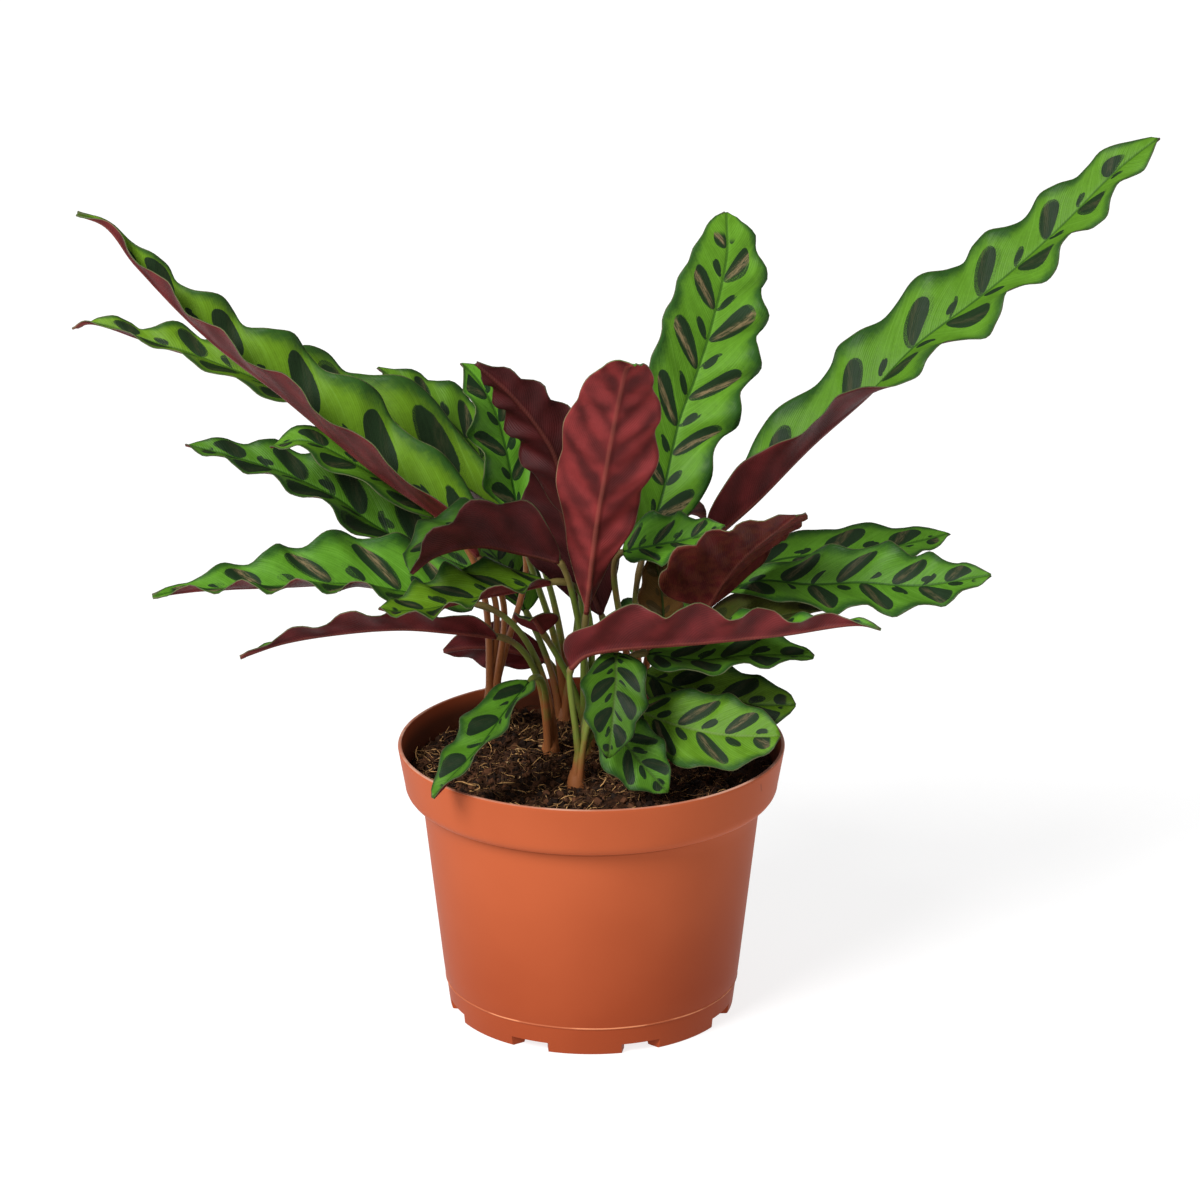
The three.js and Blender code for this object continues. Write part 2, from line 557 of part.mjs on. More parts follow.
// Mean of the facing directions of the surface's cells that meet at a point; shorter at a sharp fold.
function meanNormal(rows, i, j) {
  const sum = new THREE.Vector3();
  let count = 0;
  for (const di of [-1, 0]) {
    for (const dj of [-1, 0]) {
      const a = rows[i + di]?.[j + dj];
      const b = rows[i + di]?.[j + dj + 1];
      const c = rows[i + di + 1]?.[j + dj];
      const d = rows[i + di + 1]?.[j + dj + 1];
      if (!a || !b || !c || !d) continue;
      const cell = d.clone().sub(a).cross(c.clone().sub(b));
      sum.add(cell.normalize());
      count += 1;
    }
  }
  return sum.divideScalar(count);
}

function makeBlade(leaf) {
  const rows = bladeSurface(leaf);
  const across = rows[0].length;
  const layer = rows.length * across;
  const positions = [];
  for (const face of [1, -1]) {
    rows.forEach((row, i) =>
      row.forEach((point, j) => {
        const normal = meanNormal(rows, i, j);
        const stretch = 1 / Math.max(0.4, normal.lengthSq());
        const p = point.clone().addScaledVector(normal, face * stretch * (BLADE_THICKNESS / 2));
        positions.push(p.x, p.y, p.z);
      }),
    );
  }
  const triangles = [];
  const facet = (a, b, c) => {
    triangles.push(a, b, c);
    triangles.push(a + layer, c + layer, b + layer);
  };
  for (let i = 0; i + 1 < rows.length; i++) {
    for (let j = 0; j + 1 < across; j++) {
      const a = i * across + j;
      const b = a + 1;
      const c = a + across;
      const d = c + 1;
      if (j < leaf.rows) {
        facet(a, b, c);
        facet(b, d, c);
      } else {
        facet(a, b, d);
        facet(a, d, c);
      }
    }
  }
  const edge = [];
  for (let j = 0; j < across; j++) edge.push(j);
  for (let i = 1; i < rows.length; i++) edge.push(i * across + across - 1);
  for (let j = across - 2; j >= 0; j--) edge.push((rows.length - 1) * across + j);
  for (let i = rows.length - 2; i > 0; i--) edge.push(i * across);
  edge.forEach((a, k) => {
    const b = edge[(k + 1) % edge.length];
    triangles.push(b, a, a + layer, b, a + layer, b + layer);
  });
  return indexed(positions, triangles);
}

// ---- leafy shoots ----
// A round stalk along a line, its radius changing from foot to top.
function stalk(points, radii, sides) {
  const rings = points.map((point, i) => {
    const before = points[Math.max(0, i - 1)];
    const after = points[Math.min(points.length - 1, i + 1)];
    const ahead = after.clone().sub(before).normalize();
    const side = new THREE.Vector3(0, 1, 0).addScaledVector(ahead, -ahead.y).normalize();
    const other = ahead.clone().cross(side);
    const ring = [];
    for (let k = 0; k < sides; k++) {
      const angle = (k * 2 * Math.PI) / sides;
      const p = point.clone();
      p.addScaledVector(side, radii[i] * Math.cos(angle));
      p.addScaledVector(other, radii[i] * Math.sin(angle));
      ring.push(p);
    }
    return ring;
  });
  return solidOf(skin(rings));
}

function stalkLine(leaf, foot) {
  const top = vec(leaf.path[0]);
  const line = smoothLine(leaf.path, PATH_STEPS);
  const ahead = line.points[1].clone().sub(line.points[0]).normalize();
  const end = top.clone().addScaledVector(ahead, -FIT);
  const reach = end.distanceTo(foot);
  const curve = new THREE.CubicBezierCurve3(
    foot,
    foot.clone().add(new THREE.Vector3(0, 0, reach * 0.45)),
    end.clone().addScaledVector(ahead, -reach * (leaf.bend ?? USUAL_BEND)),
    end,
  );
  return STALK_STEPS.map((share) => curve.getPoint(share));
}

// The sheath at the foot of a shoot, widened by a margin for the hole it stands in.
function sheath(name, margin) {
  const [x, y] = SHOOTS[name].foot;
  const line = [
    new THREE.Vector3(x, y, SHEATH_FOOT_Z - margin),
    new THREE.Vector3(x, y, SHEATH_MOUTH_Z + margin),
    new THREE.Vector3(x, y, SHEATH_TOP_Z + margin),
  ];
  const radii = [SHEATH_RADIUS + margin, SHEATH_RADIUS + margin, SHEATH_TIP_RADIUS + margin];
  return stalk(line, radii, SHEATH_SIDES);
}

function shootSolid(name) {
  const centre = SHOOTS[name].foot;
  const own = LEAVES.filter((leaf) => leaf.shoot === name);
  let shoot = sheath(name, 0);
  own.forEach((leaf, i) => {
    const angle = (i * 2 * Math.PI) / own.length;
    const foot = new THREE.Vector3(
      centre[0] + STALK_SPREAD * Math.cos(angle),
      centre[1] + STALK_SPREAD * Math.sin(angle),
      STALK_FOOT_Z,
    );
    const points = stalkLine(leaf, foot);
    const radii = points.map((p, k) => {
      const share = k / (points.length - 1);
      return lerp(STALK_FOOT_RADIUS, STALK_RADIUS, Math.min(1, share * 2.5));
    });
    radii[radii.length - 2] = WRIST_RADIUS;
    radii[radii.length - 1] = WRIST_RADIUS * 0.8;
    shoot = shoot.add(stalk(points, radii, STALK_SIDES));
  });
  return shoot;
}

// ---- assembly ----
const part = new THREE.Group();
part.name = "potted_calathea";

function addPiece(name, geometry, colour) {
  const mesh = new THREE.Mesh(geometry, new THREE.MeshStandardMaterial(COLOURS[colour]));
  mesh.name = name;
  part.add(mesh);
}

addPiece("pot", makePot(), "terracotta");
addPiece("soil", makeSoil(Object.keys(SHOOTS).map((name) => sheath(name, FIT))), "soil");
for (const [name, shoot] of Object.entries(SHOOTS)) {
  addPiece(name, geometryOf(shootSolid(name)), shoot.colour);
}
for (const leaf of LEAVES) {
  addPiece(leaf.name, makeBlade(leaf), leaf.colour);
}

export default part;
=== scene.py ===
import math
import random

import bmesh
import bpy
import numpy as np
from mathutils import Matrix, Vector, noise


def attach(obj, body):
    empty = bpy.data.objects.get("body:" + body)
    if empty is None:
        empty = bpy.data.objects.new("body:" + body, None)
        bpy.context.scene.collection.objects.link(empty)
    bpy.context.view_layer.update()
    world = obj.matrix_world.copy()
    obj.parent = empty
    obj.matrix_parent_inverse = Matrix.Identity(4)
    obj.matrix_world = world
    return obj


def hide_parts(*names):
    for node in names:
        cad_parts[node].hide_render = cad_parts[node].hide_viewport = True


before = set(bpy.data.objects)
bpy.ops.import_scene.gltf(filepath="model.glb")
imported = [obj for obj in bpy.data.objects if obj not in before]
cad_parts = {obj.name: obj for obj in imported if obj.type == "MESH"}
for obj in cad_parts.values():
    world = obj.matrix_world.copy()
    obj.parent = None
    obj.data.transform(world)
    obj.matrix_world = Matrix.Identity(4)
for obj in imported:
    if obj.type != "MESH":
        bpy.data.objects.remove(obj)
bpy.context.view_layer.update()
mm = 0.001
print("frame loaded:", len(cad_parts), "nodes")


# node trees
class Wire:
    # a node socket that takes part in sums; each sum adds a Math node

    def __init__(self, owner, socket):
        self.owner = owner
        self.socket = socket

    def math(self, operation, *operands):
        settings = {"operation": operation}
        return self.owner.node("ShaderNodeMath", settings, dict(enumerate(operands)))

    def __add__(self, other):
        return self.math("ADD", self, other)

    def __sub__(self, other):
        return self.math("SUBTRACT", self, other)

    def __rsub__(self, other):
        return self.math("SUBTRACT", other, self)

    def __mul__(self, other):
        return self.math("MULTIPLY", self, other)

    def __truediv__(self, other):
        return self.math("DIVIDE", self, other)

    def __pow__(self, other):
        return self.math("POWER", self, other)

    def __lt__(self, other):
        return self.math("LESS_THAN", self, other)

    def __abs__(self):
        return self.math("ABSOLUTE", self)

    __radd__ = __add__
    __rmul__ = __mul__

    def floor(self):
        return self.math("FLOOR", self)

    def sine(self):
        return self.math("SINE", self)

    def larger(self, other):
        return self.math("MAXIMUM", self, other)

    def smaller(self, other):
        return self.math("MINIMUM", self, other)

    def rise(self, low, high):
        # 0 below low, 1 above high, smooth between; falls where low is the larger
        return self.owner.node(
            "ShaderNodeMapRange",
            {"interpolation_type": "SMOOTHSTEP"},
            {"Value": self, "From Min": low, "From Max": high},
        )

    def riseMm(self, low, high):
        # the same for a length in metres, with low and high in mm
        return self.rise(low * mm, high * mm)


class Maker:
    # fills one node tree

    def __init__(self, tree):
        self.tree = tree
        tree.nodes.clear()

    def node(self, kind, settings=None, values=None, out=0):
        made = self.tree.nodes.new(kind)
        for key, value in (settings or {}).items():
            setattr(made, key, value)
        for key, value in (values or {}).items():
            socket = made.inputs[key]
            if isinstance(value, Wire):
                self.tree.links.new(value.socket, socket)
            elif socket.type == "RGBA":
                socket.default_value = (*value, 1)
            else:
                socket.default_value = value
        return Wire(self, made.outputs[out]) if len(made.outputs) else None

    def attribute(self, name):
        return self.node("ShaderNodeAttribute", {"attribute_name": name}, out="Vector")

    def axes(self, vector):
        split = self.node("ShaderNodeSeparateXYZ", values={0: vector})
        return [Wire(self, socket) for socket in split.socket.node.outputs]

    def vector(self, x, y, z):
        return self.node("ShaderNodeCombineXYZ", values={0: x, 1: y, 2: z})

    def mix(self, factor, first, second, blend="MIX"):
        settings = {"data_type": "RGBA", "blend_type": blend}
        return self.node("ShaderNodeMix", settings, {0: factor, 6: first, 7: second}, out=2)

    def shaded(self, base, level):
        return self.mix(1.0, base, self.vector(level, level, level), "MULTIPLY")

    def noise(self, vector, scale, detail=2.0, roughness=0.5):
        values = {"Vector": vector, "Scale": scale, "Detail": detail, "Roughness": roughness}
        return self.node("ShaderNodeTexNoise", values=values)

    def place(self):
        return self.node("ShaderNodeTexCoord", out="Object")

    def bump(self, height, distance, strength=1.0):
        values = {"Height": height, "Distance": distance * mm, "Strength": strength}
        return self.node("ShaderNodeBump", values=values)

    def surface(self, base, roughness, more):
        values = {"Base Color": base, "Roughness": roughness, **more}
        shader = self.node("ShaderNodeBsdfPrincipled", values=values)
        self.node("ShaderNodeOutputMaterial", values={"Surface": shader})

    def finish(self, base, roughness, shine, normal):
        self.surface(base, roughness, {"Specular IOR Level": shine, "Normal": normal})

    def clothe(self, geometry, material):
        done = self.node("GeometryNodeSetMaterial", values={"Geometry": geometry, "Material": material})
        self.node("NodeGroupOutput", values={"Geometry": done})


def newMaterial(name):
    material = bpy.data.materials.new(name)
    material.use_nodes = True
    return material, Maker(material.node_tree)


# meshes and pieces
def newObject(name, data):
    made = bpy.data.objects.new(name, data)
    bpy.context.scene.collection.objects.link(made)
    return made


def meshObject(name, points, faces, materials, materialOf=None, attributes=None):
    mesh = bpy.data.meshes.new(name)
    mesh.from_pydata((np.asarray(points, float) * mm).tolist(), [], faces)
    for material in materials:
        mesh.materials.append(material)
    if materialOf is not None:
        mesh.polygons.foreach_set("material_index", materialOf)
    mesh.polygons.foreach_set("use_smooth", [True] * len(faces))
    for key, values in (attributes or {}).items():
        attribute = mesh.attributes.new(key, "FLOAT_VECTOR", "POINT")
        attribute.data.foreach_set("vector", np.asarray(values, np.float32).ravel())
    mesh.update()
    return newObject(name, mesh)


def keepPiece(piece, nodes):
    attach(piece, "root")
    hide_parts(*nodes)


def nodeGroup(name, inputs):
    # an empty Geometry Nodes tree with named inputs; returns the tree, its maker and the input wires
    tree = bpy.data.node_groups.new(name, "GeometryNodeTree")
    tree.interface.new_socket("Geometry", in_out="INPUT", socket_type="NodeSocketGeometry")
    for label, kind in inputs.items():
        tree.interface.new_socket(label, in_out="INPUT", socket_type="NodeSocket" + kind)
    tree.interface.new_socket("Geometry", in_out="OUTPUT", socket_type="NodeSocketGeometry")
    maker = Maker(tree)
    entry = maker.node("NodeGroupInput")
    wires = {socket.name: Wire(maker, socket) for socket in entry.socket.node.outputs if socket.name}
    return tree, maker, wires


def runTree(host, tree, values, name):
    # applies the tree to the host object and returns the result as a new plain mesh object
    modifier = host.modifiers.new("shape", "NODES")
    modifier.node_group = tree
    for item in tree.interface.items_tree:
        if item.in_out == "INPUT" and item.name in values:
            modifier[item.identifier] = values[item.name]
    graph = bpy.context.evaluated_depsgraph_get()
    mesh = bpy.data.meshes.new_from_object(host.evaluated_get(graph))
    host.modifiers.remove(modifier)
    bpy.data.objects.remove(host)
    mesh.name = name
    return newObject(name, mesh)


splineSteps = 60  # between two points of a smooth line, before it is cut


def smoothLine(path, count):
    # a centripetal Catmull-Rom line through the points, cut into even steps; and its length
    points = [np.array(point, float) for point in path]
    points = [2 * points[0] - points[1], *points, 2 * points[-1] - points[-2]]
    share = np.linspace(0, 1, splineSteps, endpoint=False)[:, None]
    fine = []
    for a, b, c, d in zip(points, points[1:], points[2:], points[3:]):
        gap0, gap1, gap2 = (math.sqrt(np.linalg.norm(q - p)) for p, q in ((a, b), (b, c), (c, d)))
        leave = ((b - a) / gap0 - (c - a) / (gap0 + gap1) + (c - b) / gap1) * gap1
        arrive = ((c - b) / gap1 - (d - b) / (gap1 + gap2) + (d - c) / gap2) * gap1
        cubic = 2 * b - 2 * c + leave + arrive
        square = 3 * c - 3 * b - 2 * leave - arrive
        fine.append(b + leave * share + square * share**2 + cubic * share**3)
    fine = np.vstack([*fine, points[-2][None]])
    lengths = np.concatenate([[0], np.cumsum(np.linalg.norm(np.diff(fine, axis=0), axis=1))])
    even = np.linspace(0, lengths[-1], count + 1)
    return np.stack([np.interp(even, lengths, fine[:, k]) for k in range(3)], 1), lengths[-1]


def ringFaces(rows, count):
    # the quads between rows of points that each close to a ring
    faces = []
    for i in range(rows - 1):
        for k in range(count):
            here, following = i * count + k, i * count + (k + 1) % count
            faces.append((here, following, following + count, here + count))
    return faces


def unit(vectors):
    return vectors / np.maximum(np.linalg.norm(vectors, axis=-1, keepdims=True), 1e-9)


# leaves
# path: the midrib from the stalk to the tip. face: where the upper side looks, all along, or at the stalk
# and at the tip. left and right: how far each half folds up, in degrees; without right, both as left says.
# width: across the flat blade. full: where it is widest. point: how slender the ends are. bend: how gently
# the stalk turns. waves, gather, swing, lag: the margin's waves, how they crowd to the tip, how far they
# swing, also as leftSwing, and where they start. pleats: how deep. toneAndShade: how light, partly the leaf's
# own tone, partly painted shade on leaves that lie in shadow and painted light on a lit one. warm: how
# yellow, partly its own tint, partly painted light shining through the blade. age: how brown. bronze: how
# brown the
# spots are. paleRib: 1 for a pale midrib, 0 for a dark one. spots: how many rows of spots, how they crowd to
# the tip and where they start; without it they follow the waves.
usualLeaf = dict(
    slot="leaf_green", full=0.42, point=0.75, bend=0.28, waves=3, gather=1, lag=0, pleats=1, toneAndShade=1,
    warm=0.1, age=0, bronze=0.35, paleRib=0, spotSize=1,
)
leaves = {
    "leaf_left_long": dict(
        shoot="shoot_left", face=[(0.6, -0.1, 0.78), (0.65, -0.1, 0.75)],
        path=[(-46, -6, 197), (-59, -2, 210), (-87, 4, 229), (-125, 10, 260), (-156, 15, 284),
              (-184, 22, 312), (-196, 26, 327), (-208, 30, 331)],
        width=48, full=0.32, point=1.05, left=(40, 35, 35, 44), right=(50, 62, 56, 54), waves=5.5,
        gather=1.2, swing=4.1, leftSwing=2.4, lag=0.8, toneAndShade=1.05, warm=0.8, bronze=0.05, spotSize=1.15,
    ),
    "leaf_left_long_behind": dict(
        shoot="shoot_left", face=[(0.45, -0.1, 0.9), (0.35, -0.1, 0.95)],
        path=[(-35, 30, 199), (-61, 37, 217), (-92, 44, 238), (-132, 53, 252), (-160, 59, 262),
              (-185, 64, 269), (-209, 70, 275), (-217, 73, 272)],
        width=46, full=0.28, point=0.9, left=(38, 12, 6, 25), right=(45, 50, 50, 30), waves=5.5,
        gather=1.55, swing=4.8, leftSwing=1.6, lag=0.5, toneAndShade=1.05, warm=0.8, bronze=0.1, spotSize=1.1,
    ),
    "leaf_left_middle": dict(
        shoot="shoot_left", face=[(0.3, -0.15, 0.9), (0.2, -0.2, 0.95)],
        path=[(-50, 25, 181), (-86, 34, 195), (-108, 39, 209), (-130, 44, 218), (-152, 48, 224),
              (-169, 53, 227)],
        width=38, full=0.28, point=0.6, left=(8, 12, 10), right=(46, 36, 25), waves=4.5, gather=1.25,
        swing=2.8, leftSwing=2.4, lag=0.3, toneAndShade=0.75, bronze=0.1, spotSize=1.3,
    ),
    "leaf_left_hooked": dict(
        shoot="shoot_left", face=[(0.3, -0.3, 0.9), (-0.2, -0.3, 0.9)],
        path=[(-64, 13, 208), (-92, 18, 226), (-117, 24, 237), (-132, 30, 233)],
        width=26, full=0.46, left=(15, 10, 16), right=(20, 14, 14), waves=2.5, gather=1.2, swing=2.9,
        leftSwing=2.1, lag=0.2, toneAndShade=0.9, warm=0.3, bronze=0.2,
    ),
    "leaf_left_low": dict(
        shoot="shoot_left_front", face=[(0.1, -0.1, 1), (0, -0.1, 1)],
        path=[(-48, -1, 175), (-66, -4, 179), (-97, -9, 186), (-123, -14, 187), (-162, -20, 187),
              (-177, -24, 186)],
        width=46, full=0.28, point=0.9, left=(12, 22, 30), right=(44, 48, 28), waves=5, swing=3.1,
        leftSwing=3.3, lag=0.4, toneAndShade=1.05, bronze=0.9, spotSize=1.1,
    ),
    "leaf_left_folded": dict(
        slot="leaf_wine", shoot="shoot_left_front", face=[(0, 0.5, 0.86)],
        path=[(-39, -7, 163), (-58, -18, 169), (-76, -23, 172), (-98, -29, 172.5), (-124, -35, 170),
              (-141, -40, 165.5)],
        width=27, full=0.36, point=0.9, left=(16, 24, 24), right=(35, 25, 20), waves=4.5, swing=1.8,
        leftSwing=2.2, lag=0.3, toneAndShade=0.8,
    ),
    "leaf_near_left_wine": dict(
        slot="leaf_wine", shoot="shoot_middle", face=[(0, 0.5, 0.86), (-0.2, 0.5, 0.86)],
        path=[(-13, -25, 201), (-27, -30, 206), (-46, -39, 212), (-62, -49, 211), (-71, -56, 206)],
        width=48, full=0.5, point=0.6, bend=0.05, left=(35, 38, 25), right=(60, 60, 40), waves=3.5,
        swing=2.6, lag=0.2, toneAndShade=0.5,
    ),
    "leaf_near_left_green": dict(
        shoot="shoot_middle", face=[(0, 0.1, 1), (0, 0, 1)],
        path=[(-17, -22, 191), (-29, -28, 190), (-45, -38, 190), (-64, -46, 188), (-78, -52, 189),
              (-84, -54, 191)],
        width=38, full=0.45, point=0.7, left=(20, 20, 0), right=(35, 35, 20), waves=4, swing=3, lag=0.7,
        toneAndShade=0.85, warm=0.8, bronze=0.2,
    ),
    "leaf_back_left": dict(
        shoot="shoot_back", face=[(0.3, -0.5, 0.8), (0.2, -0.4, 0.9)],
        path=[(-40, 56, 211), (-56, 64, 230), (-76, 74, 244), (-90, 80, 253)],
        width=32, point=0.8, left=(10, 10, 16), right=15, gather=1.25, swing=2.1, leftSwing=2.5,
        toneAndShade=0.85, warm=0.5,
    ),
    "leaf_upright_green": dict(
        shoot="shoot_back", face=[(0.3, -0.75, 0.3), (0.5, -0.6, 0.5)],
        path=[(-29, 23, 200), (-33, 24, 222), (-38, 25, 245), (-46, 26, 262), (-53, 28, 269)],
        width=32, full=0.55, left=10, swing=3.5, lag=0.9, toneAndShade=1.15,
    ),
    "leaf_arching_wine": dict(
        slot="leaf_wine", shoot="shoot_middle", face=[(0.2, 0.9, 0.1), (0.2, 0.8, 0.5)],
        path=[(-9, -6, 214), (-15, -7, 241), (-30, -9, 264), (-46, -12, 280)],
        width=30, left=(15, 9, 20), right=(10, 10, 20), waves=4.5, gather=1.25, swing=2.6, leftSwing=2.2,
        lag=0.2, toneAndShade=0.5,
    ),
    "leaf_dark_wine": dict(
        slot="leaf_wine", shoot="shoot_middle", face=[(0, 1, 0), (0, 1, 0.2)],
        path=[(4, 13, 166), (-7, 12, 194), (-14, 11, 216), (-21, 10, 235)],
        width=38, full=0.5, left=10, swing=2, lag=0.1, toneAndShade=0.42,
    ),
    "leaf_centre_wine": dict(
        slot="leaf_wine", shoot="shoot_middle", face=[(0, 0.95, 0.3), (0, 0.4, 0.9)],
        path=[(-2, -16, 176), (2, -28, 216), (7, -38, 250), (11, -47, 275), (14, -58, 291), (17, -68, 295)],
        width=39, full=0.57, point=0.8, left=(20, 8, 8), right=(20, 15, 12), waves=5, gather=1.25,
        swing=1.2, leftSwing=2, lag=0.6, toneAndShade=1.52, pleats=1.6,
    ),
    "leaf_tall_green": dict(
        shoot="shoot_right", face=[(0.1, -0.9, 0.35), (0.3, -0.9, 0.35)],
        path=[(21, 18, 188), (30, 30, 215), (36, 40, 240), (44, 50, 260), (50, 58, 278), (56, 67, 304),
              (56, 75, 321)],
        width=45, full=0.57, point=0.5, left=(7, 22, -3), right=(20, 14, 3), waves=6.5, gather=1.4,
        swing=3.2, leftSwing=1, lag=0.5, toneAndShade=1.02, warm=0.3, bronze=1, spots=(5.6, 1.1, 0.2),
        spotSize=0.95,
    ),
    "leaf_right_long": dict(
        shoot="shoot_right", face=[(-0.6, -0.5, 0.6), (-0.3, -0.85, 0.45)],
        path=[(50, 20, 196), (67, 22, 211), (91, 27, 235), (113, 31, 254), (133, 36, 274), (163, 42, 296),
              (188, 48, 317), (217, 55, 345), (232, 58, 356)],
        width=45, full=0.41, point=0.5, left=(28, 14, 6, -4, -10), right=(115, 76, 30, 38, 31), waves=6.5,
        gather=1.2, swing=4.6, leftSwing=3.4, lag=0.9, toneAndShade=0.86, warm=0.3, bronze=0.14,
        spots=(6.5, 1.2, 0.64), spotSize=0.78,
    ),
    "leaf_back_small": dict(
        slot="leaf_wine", shoot="shoot_right", face=[(-0.2, 0.6, 0.5), (-0.2, 0.5, 0.8)],
        path=[(27, 50, 178), (34, 58, 188), (42, 64, 194), (48, 68, 190)],
        width=22, left=15, waves=2, swing=1.5, toneAndShade=0.7, age=0.5,
    ),
    "leaf_curled_small": dict(
        shoot="shoot_right", face=[(-0.2, -0.6, 0.77), (-0.3, -0.5, 0.8)],
        path=[(13, 0, 197), (24, -2, 200), (39, -5, 204), (54, -9, 211)],
        width=26, full=0.36, bend=0.12, left=(30, 30, 20), right=20, swing=2.2, lag=0.2,
    ),
    "leaf_right_wine": dict(
        slot="leaf_wine", shoot="shoot_right_front", face=[(-0.2, 0.85, 0.45), (-0.3, 0.75, 0.5)],
        path=[(47, -10, 176), (53, -18, 190), (62, -28, 205), (73, -38, 218), (81, -45, 227)],
        width=58, full=0.38, point=0.5, left=(36, 32, 22), right=(4, 0, -6), waves=4, swing=1.8,
        leftSwing=1.6, lag=0.5, toneAndShade=0.98, age=0.35,
    ),
    "leaf_young_behind": dict(
        slot="leaf_dark", shoot="shoot_right_front", face=[(0, -1, 0.2), (0, -1, 0.4)],
        path=[(30, 10, 162), (29, 9, 176), (27, 7, 188), (24, 4, 197)],
        width=20, left=20, waves=2, swing=1.2, toneAndShade=0.6, age=0.9, bronze=0.5,
    ),
    "leaf_right_green": dict(
        shoot="shoot_right_front", face=[(-0.1, -0.6, 0.8)],
        path=[(55, 9, 177), (69, 5, 183), (88, 0, 183), (111, -10, 187), (132, -17, 188), (161, -24, 195)],
        width=33, full=0.54, left=(10, 22, 16), right=(5, 14, 4), waves=4.5, gather=1.25, swing=2.6,
        leftSwing=2.8, lag=0.6, toneAndShade=0.76, bronze=0.3, spotSize=1.15,
    ),
    "leaf_right_behind": dict(
        shoot="shoot_right_front", face=[(0, -0.5, 0.85)],
        path=[(60, 26, 180), (80, 31, 184), (99, 36, 185), (127, 42, 186), (150, 50, 189)],
        width=27, full=0.5, left=(4, 4, 10), right=(10, 10, 2), gather=1.25, swing=2.6, leftSwing=1.4,
        lag=0.2, toneAndShade=0.7, spotSize=1.2,
    ),
    "leaf_front_folded": dict(
        slot="leaf_wine", shoot="shoot_front", face=[(0, 0.5, 0.86)],
        path=[(-8, -32, 158), (-2, -36, 165), (10, -40, 169), (44, -52, 176), (75, -60, 182),
              (106, -68, 189), (114, -71, 188)],
        width=38, full=0.3, point=1, bend=0.1, left=50, right=(40, 35, 30), waves=4.65, swing=3.6,
        lag=0.35, toneAndShade=1.02,
    ),
    "leaf_front_right_upper": dict(
        shoot="shoot_front", face=[(0, -0.1, 1)],
        path=[(23, -20, 160), (43, -28, 160), (66, -36, 165), (89, -44, 167)],
        width=32, point=0.65, left=(10, 22, 22), right=(0, 4, 0), swing=2, lag=0.8, toneAndShade=0.72,
        bronze=0.1, spotSize=1.2,
    ),
    "leaf_front_right_middle": dict(
        shoot="shoot_front", face=[(-0.1, -0.75, 0.65)],
        path=[(22, -8, 147), (42, -17, 142), (62, -22, 139), (83, -26, 140)],
        width=30, full=0.45, point=0.5, left=6, swing=1.4, lag=0.6, toneAndShade=0.55, warm=0.7, bronze=0.1,
        spotSize=1.3,
    ),
    "leaf_front_right_lower": dict(
        shoot="shoot_front", face=[(-0.1, -0.75, 0.65)],
        path=[(18, -24, 137), (36, -32, 133), (56, -40, 132), (76, -46, 134)],
        width=34, full=0.5, point=0.5, left=8, swing=1.6, lag=0.2, toneAndShade=0.85, warm=0.5, bronze=0.55,
        paleRib=0.8, spots=(2.9, 1, 0.3), spotSize=1.1,
    ),
    "leaf_front_hanging": dict(
        shoot="shoot_front", face=[(0, -0.5, 0.9), (0, -0.95, 0.1)],
        path=[(10, -30, 164), (10, -42, 157), (9, -51, 147), (8, -56, 137), (7, -57, 128.5)],
        width=27, left=(15, 10, 10), swing=1.6, lag=0.4, toneAndShade=0.5, warm=0.2, bronze=0.1, paleRib=0.6,
        spots=(3.8, 1, 0.4), spotSize=1.3,
    ),
    "leaf_front_hanging_low": dict(
        shoot="shoot_front", face=[(0, -0.7, 0.6), (0, -0.9, 0.4)],
        path=[(5, -33, 140), (9, -39, 135), (18, -46, 125), (31, -52, 112)],
        width=26, full=0.5, left=8, swing=1.4, lag=0.2, toneAndShade=0.72, bronze=0.1, paleRib=0.3,
        spotSize=1.2,
    ),
    "leaf_over_rim": dict(
        shoot="shoot_left_front", face=[(-0.2, -0.4, 0.9), (-0.3, -0.6, 0.8)],
        path=[(-25, -20, 148), (-34, -37, 142), (-44, -54, 133), (-54, -64, 125), (-63, -71, 117)],
        width=27, point=0.6, left=(38, 42, 46), right=(12, 10, 10), swing=1.8, lag=0.1, toneAndShade=0.72,
        bronze=0.05, spots=(3, 1, 0.6), spotSize=1.2,
    ),
    "leaf_low_wine": dict(
        slot="leaf_wine", shoot="shoot_back", face=[(0, 0.95, 0.3)],
        path=[(-20, 58, 130), (-33, 58, 134), (-48, 58, 136), (-63, 59, 134)],
        width=24, left=10, waves=2, swing=1.5,
    ),
    "leaf_right_low_dark": dict(
        slot="leaf_dark", shoot="shoot_right_front", face=[(0, -0.3, 0.95)],
        path=[(42, 3, 156), (60, 0, 164), (80, -4, 171), (95, -7, 175)],
        width=34, full=0.38, left=(15, 15, 20), right=(10, 16, 16), waves=1, swing=1.6, lag=0.5,
        toneAndShade=0.4, age=0.5,
    ),
    "leaf_small_wine": dict(
        slot="leaf_wine", shoot="shoot_middle", face=[(0, 0.5, 0.8)],
        path=[(-20, -10, 166), (-23, -18, 174), (-25, -26, 177)],
        width=20, left=15, waves=1, swing=1,
    ),
    "leaf_rear_left": dict(
        shoot="shoot_back", face=[(0.2, -0.2, 0.95), (-0.2, 0.2, 0.95)],
        path=[(-28, 64, 150), (-38, 82, 164), (-50, 102, 170), (-62, 122, 166)],
        width=32, left=15, waves=4, swing=2.5,
    ),
    "leaf_rear_middle": dict(
        shoot="shoot_back", face=[(0.1, -0.4, 0.9), (-0.1, 0.2, 0.95)],
        path=[(-6, 62, 158), (-9, 82, 178), (-13, 104, 190), (-17, 126, 192)],
        width=34, left=15, waves=4, swing=2.5, lag=0.3,
    ),
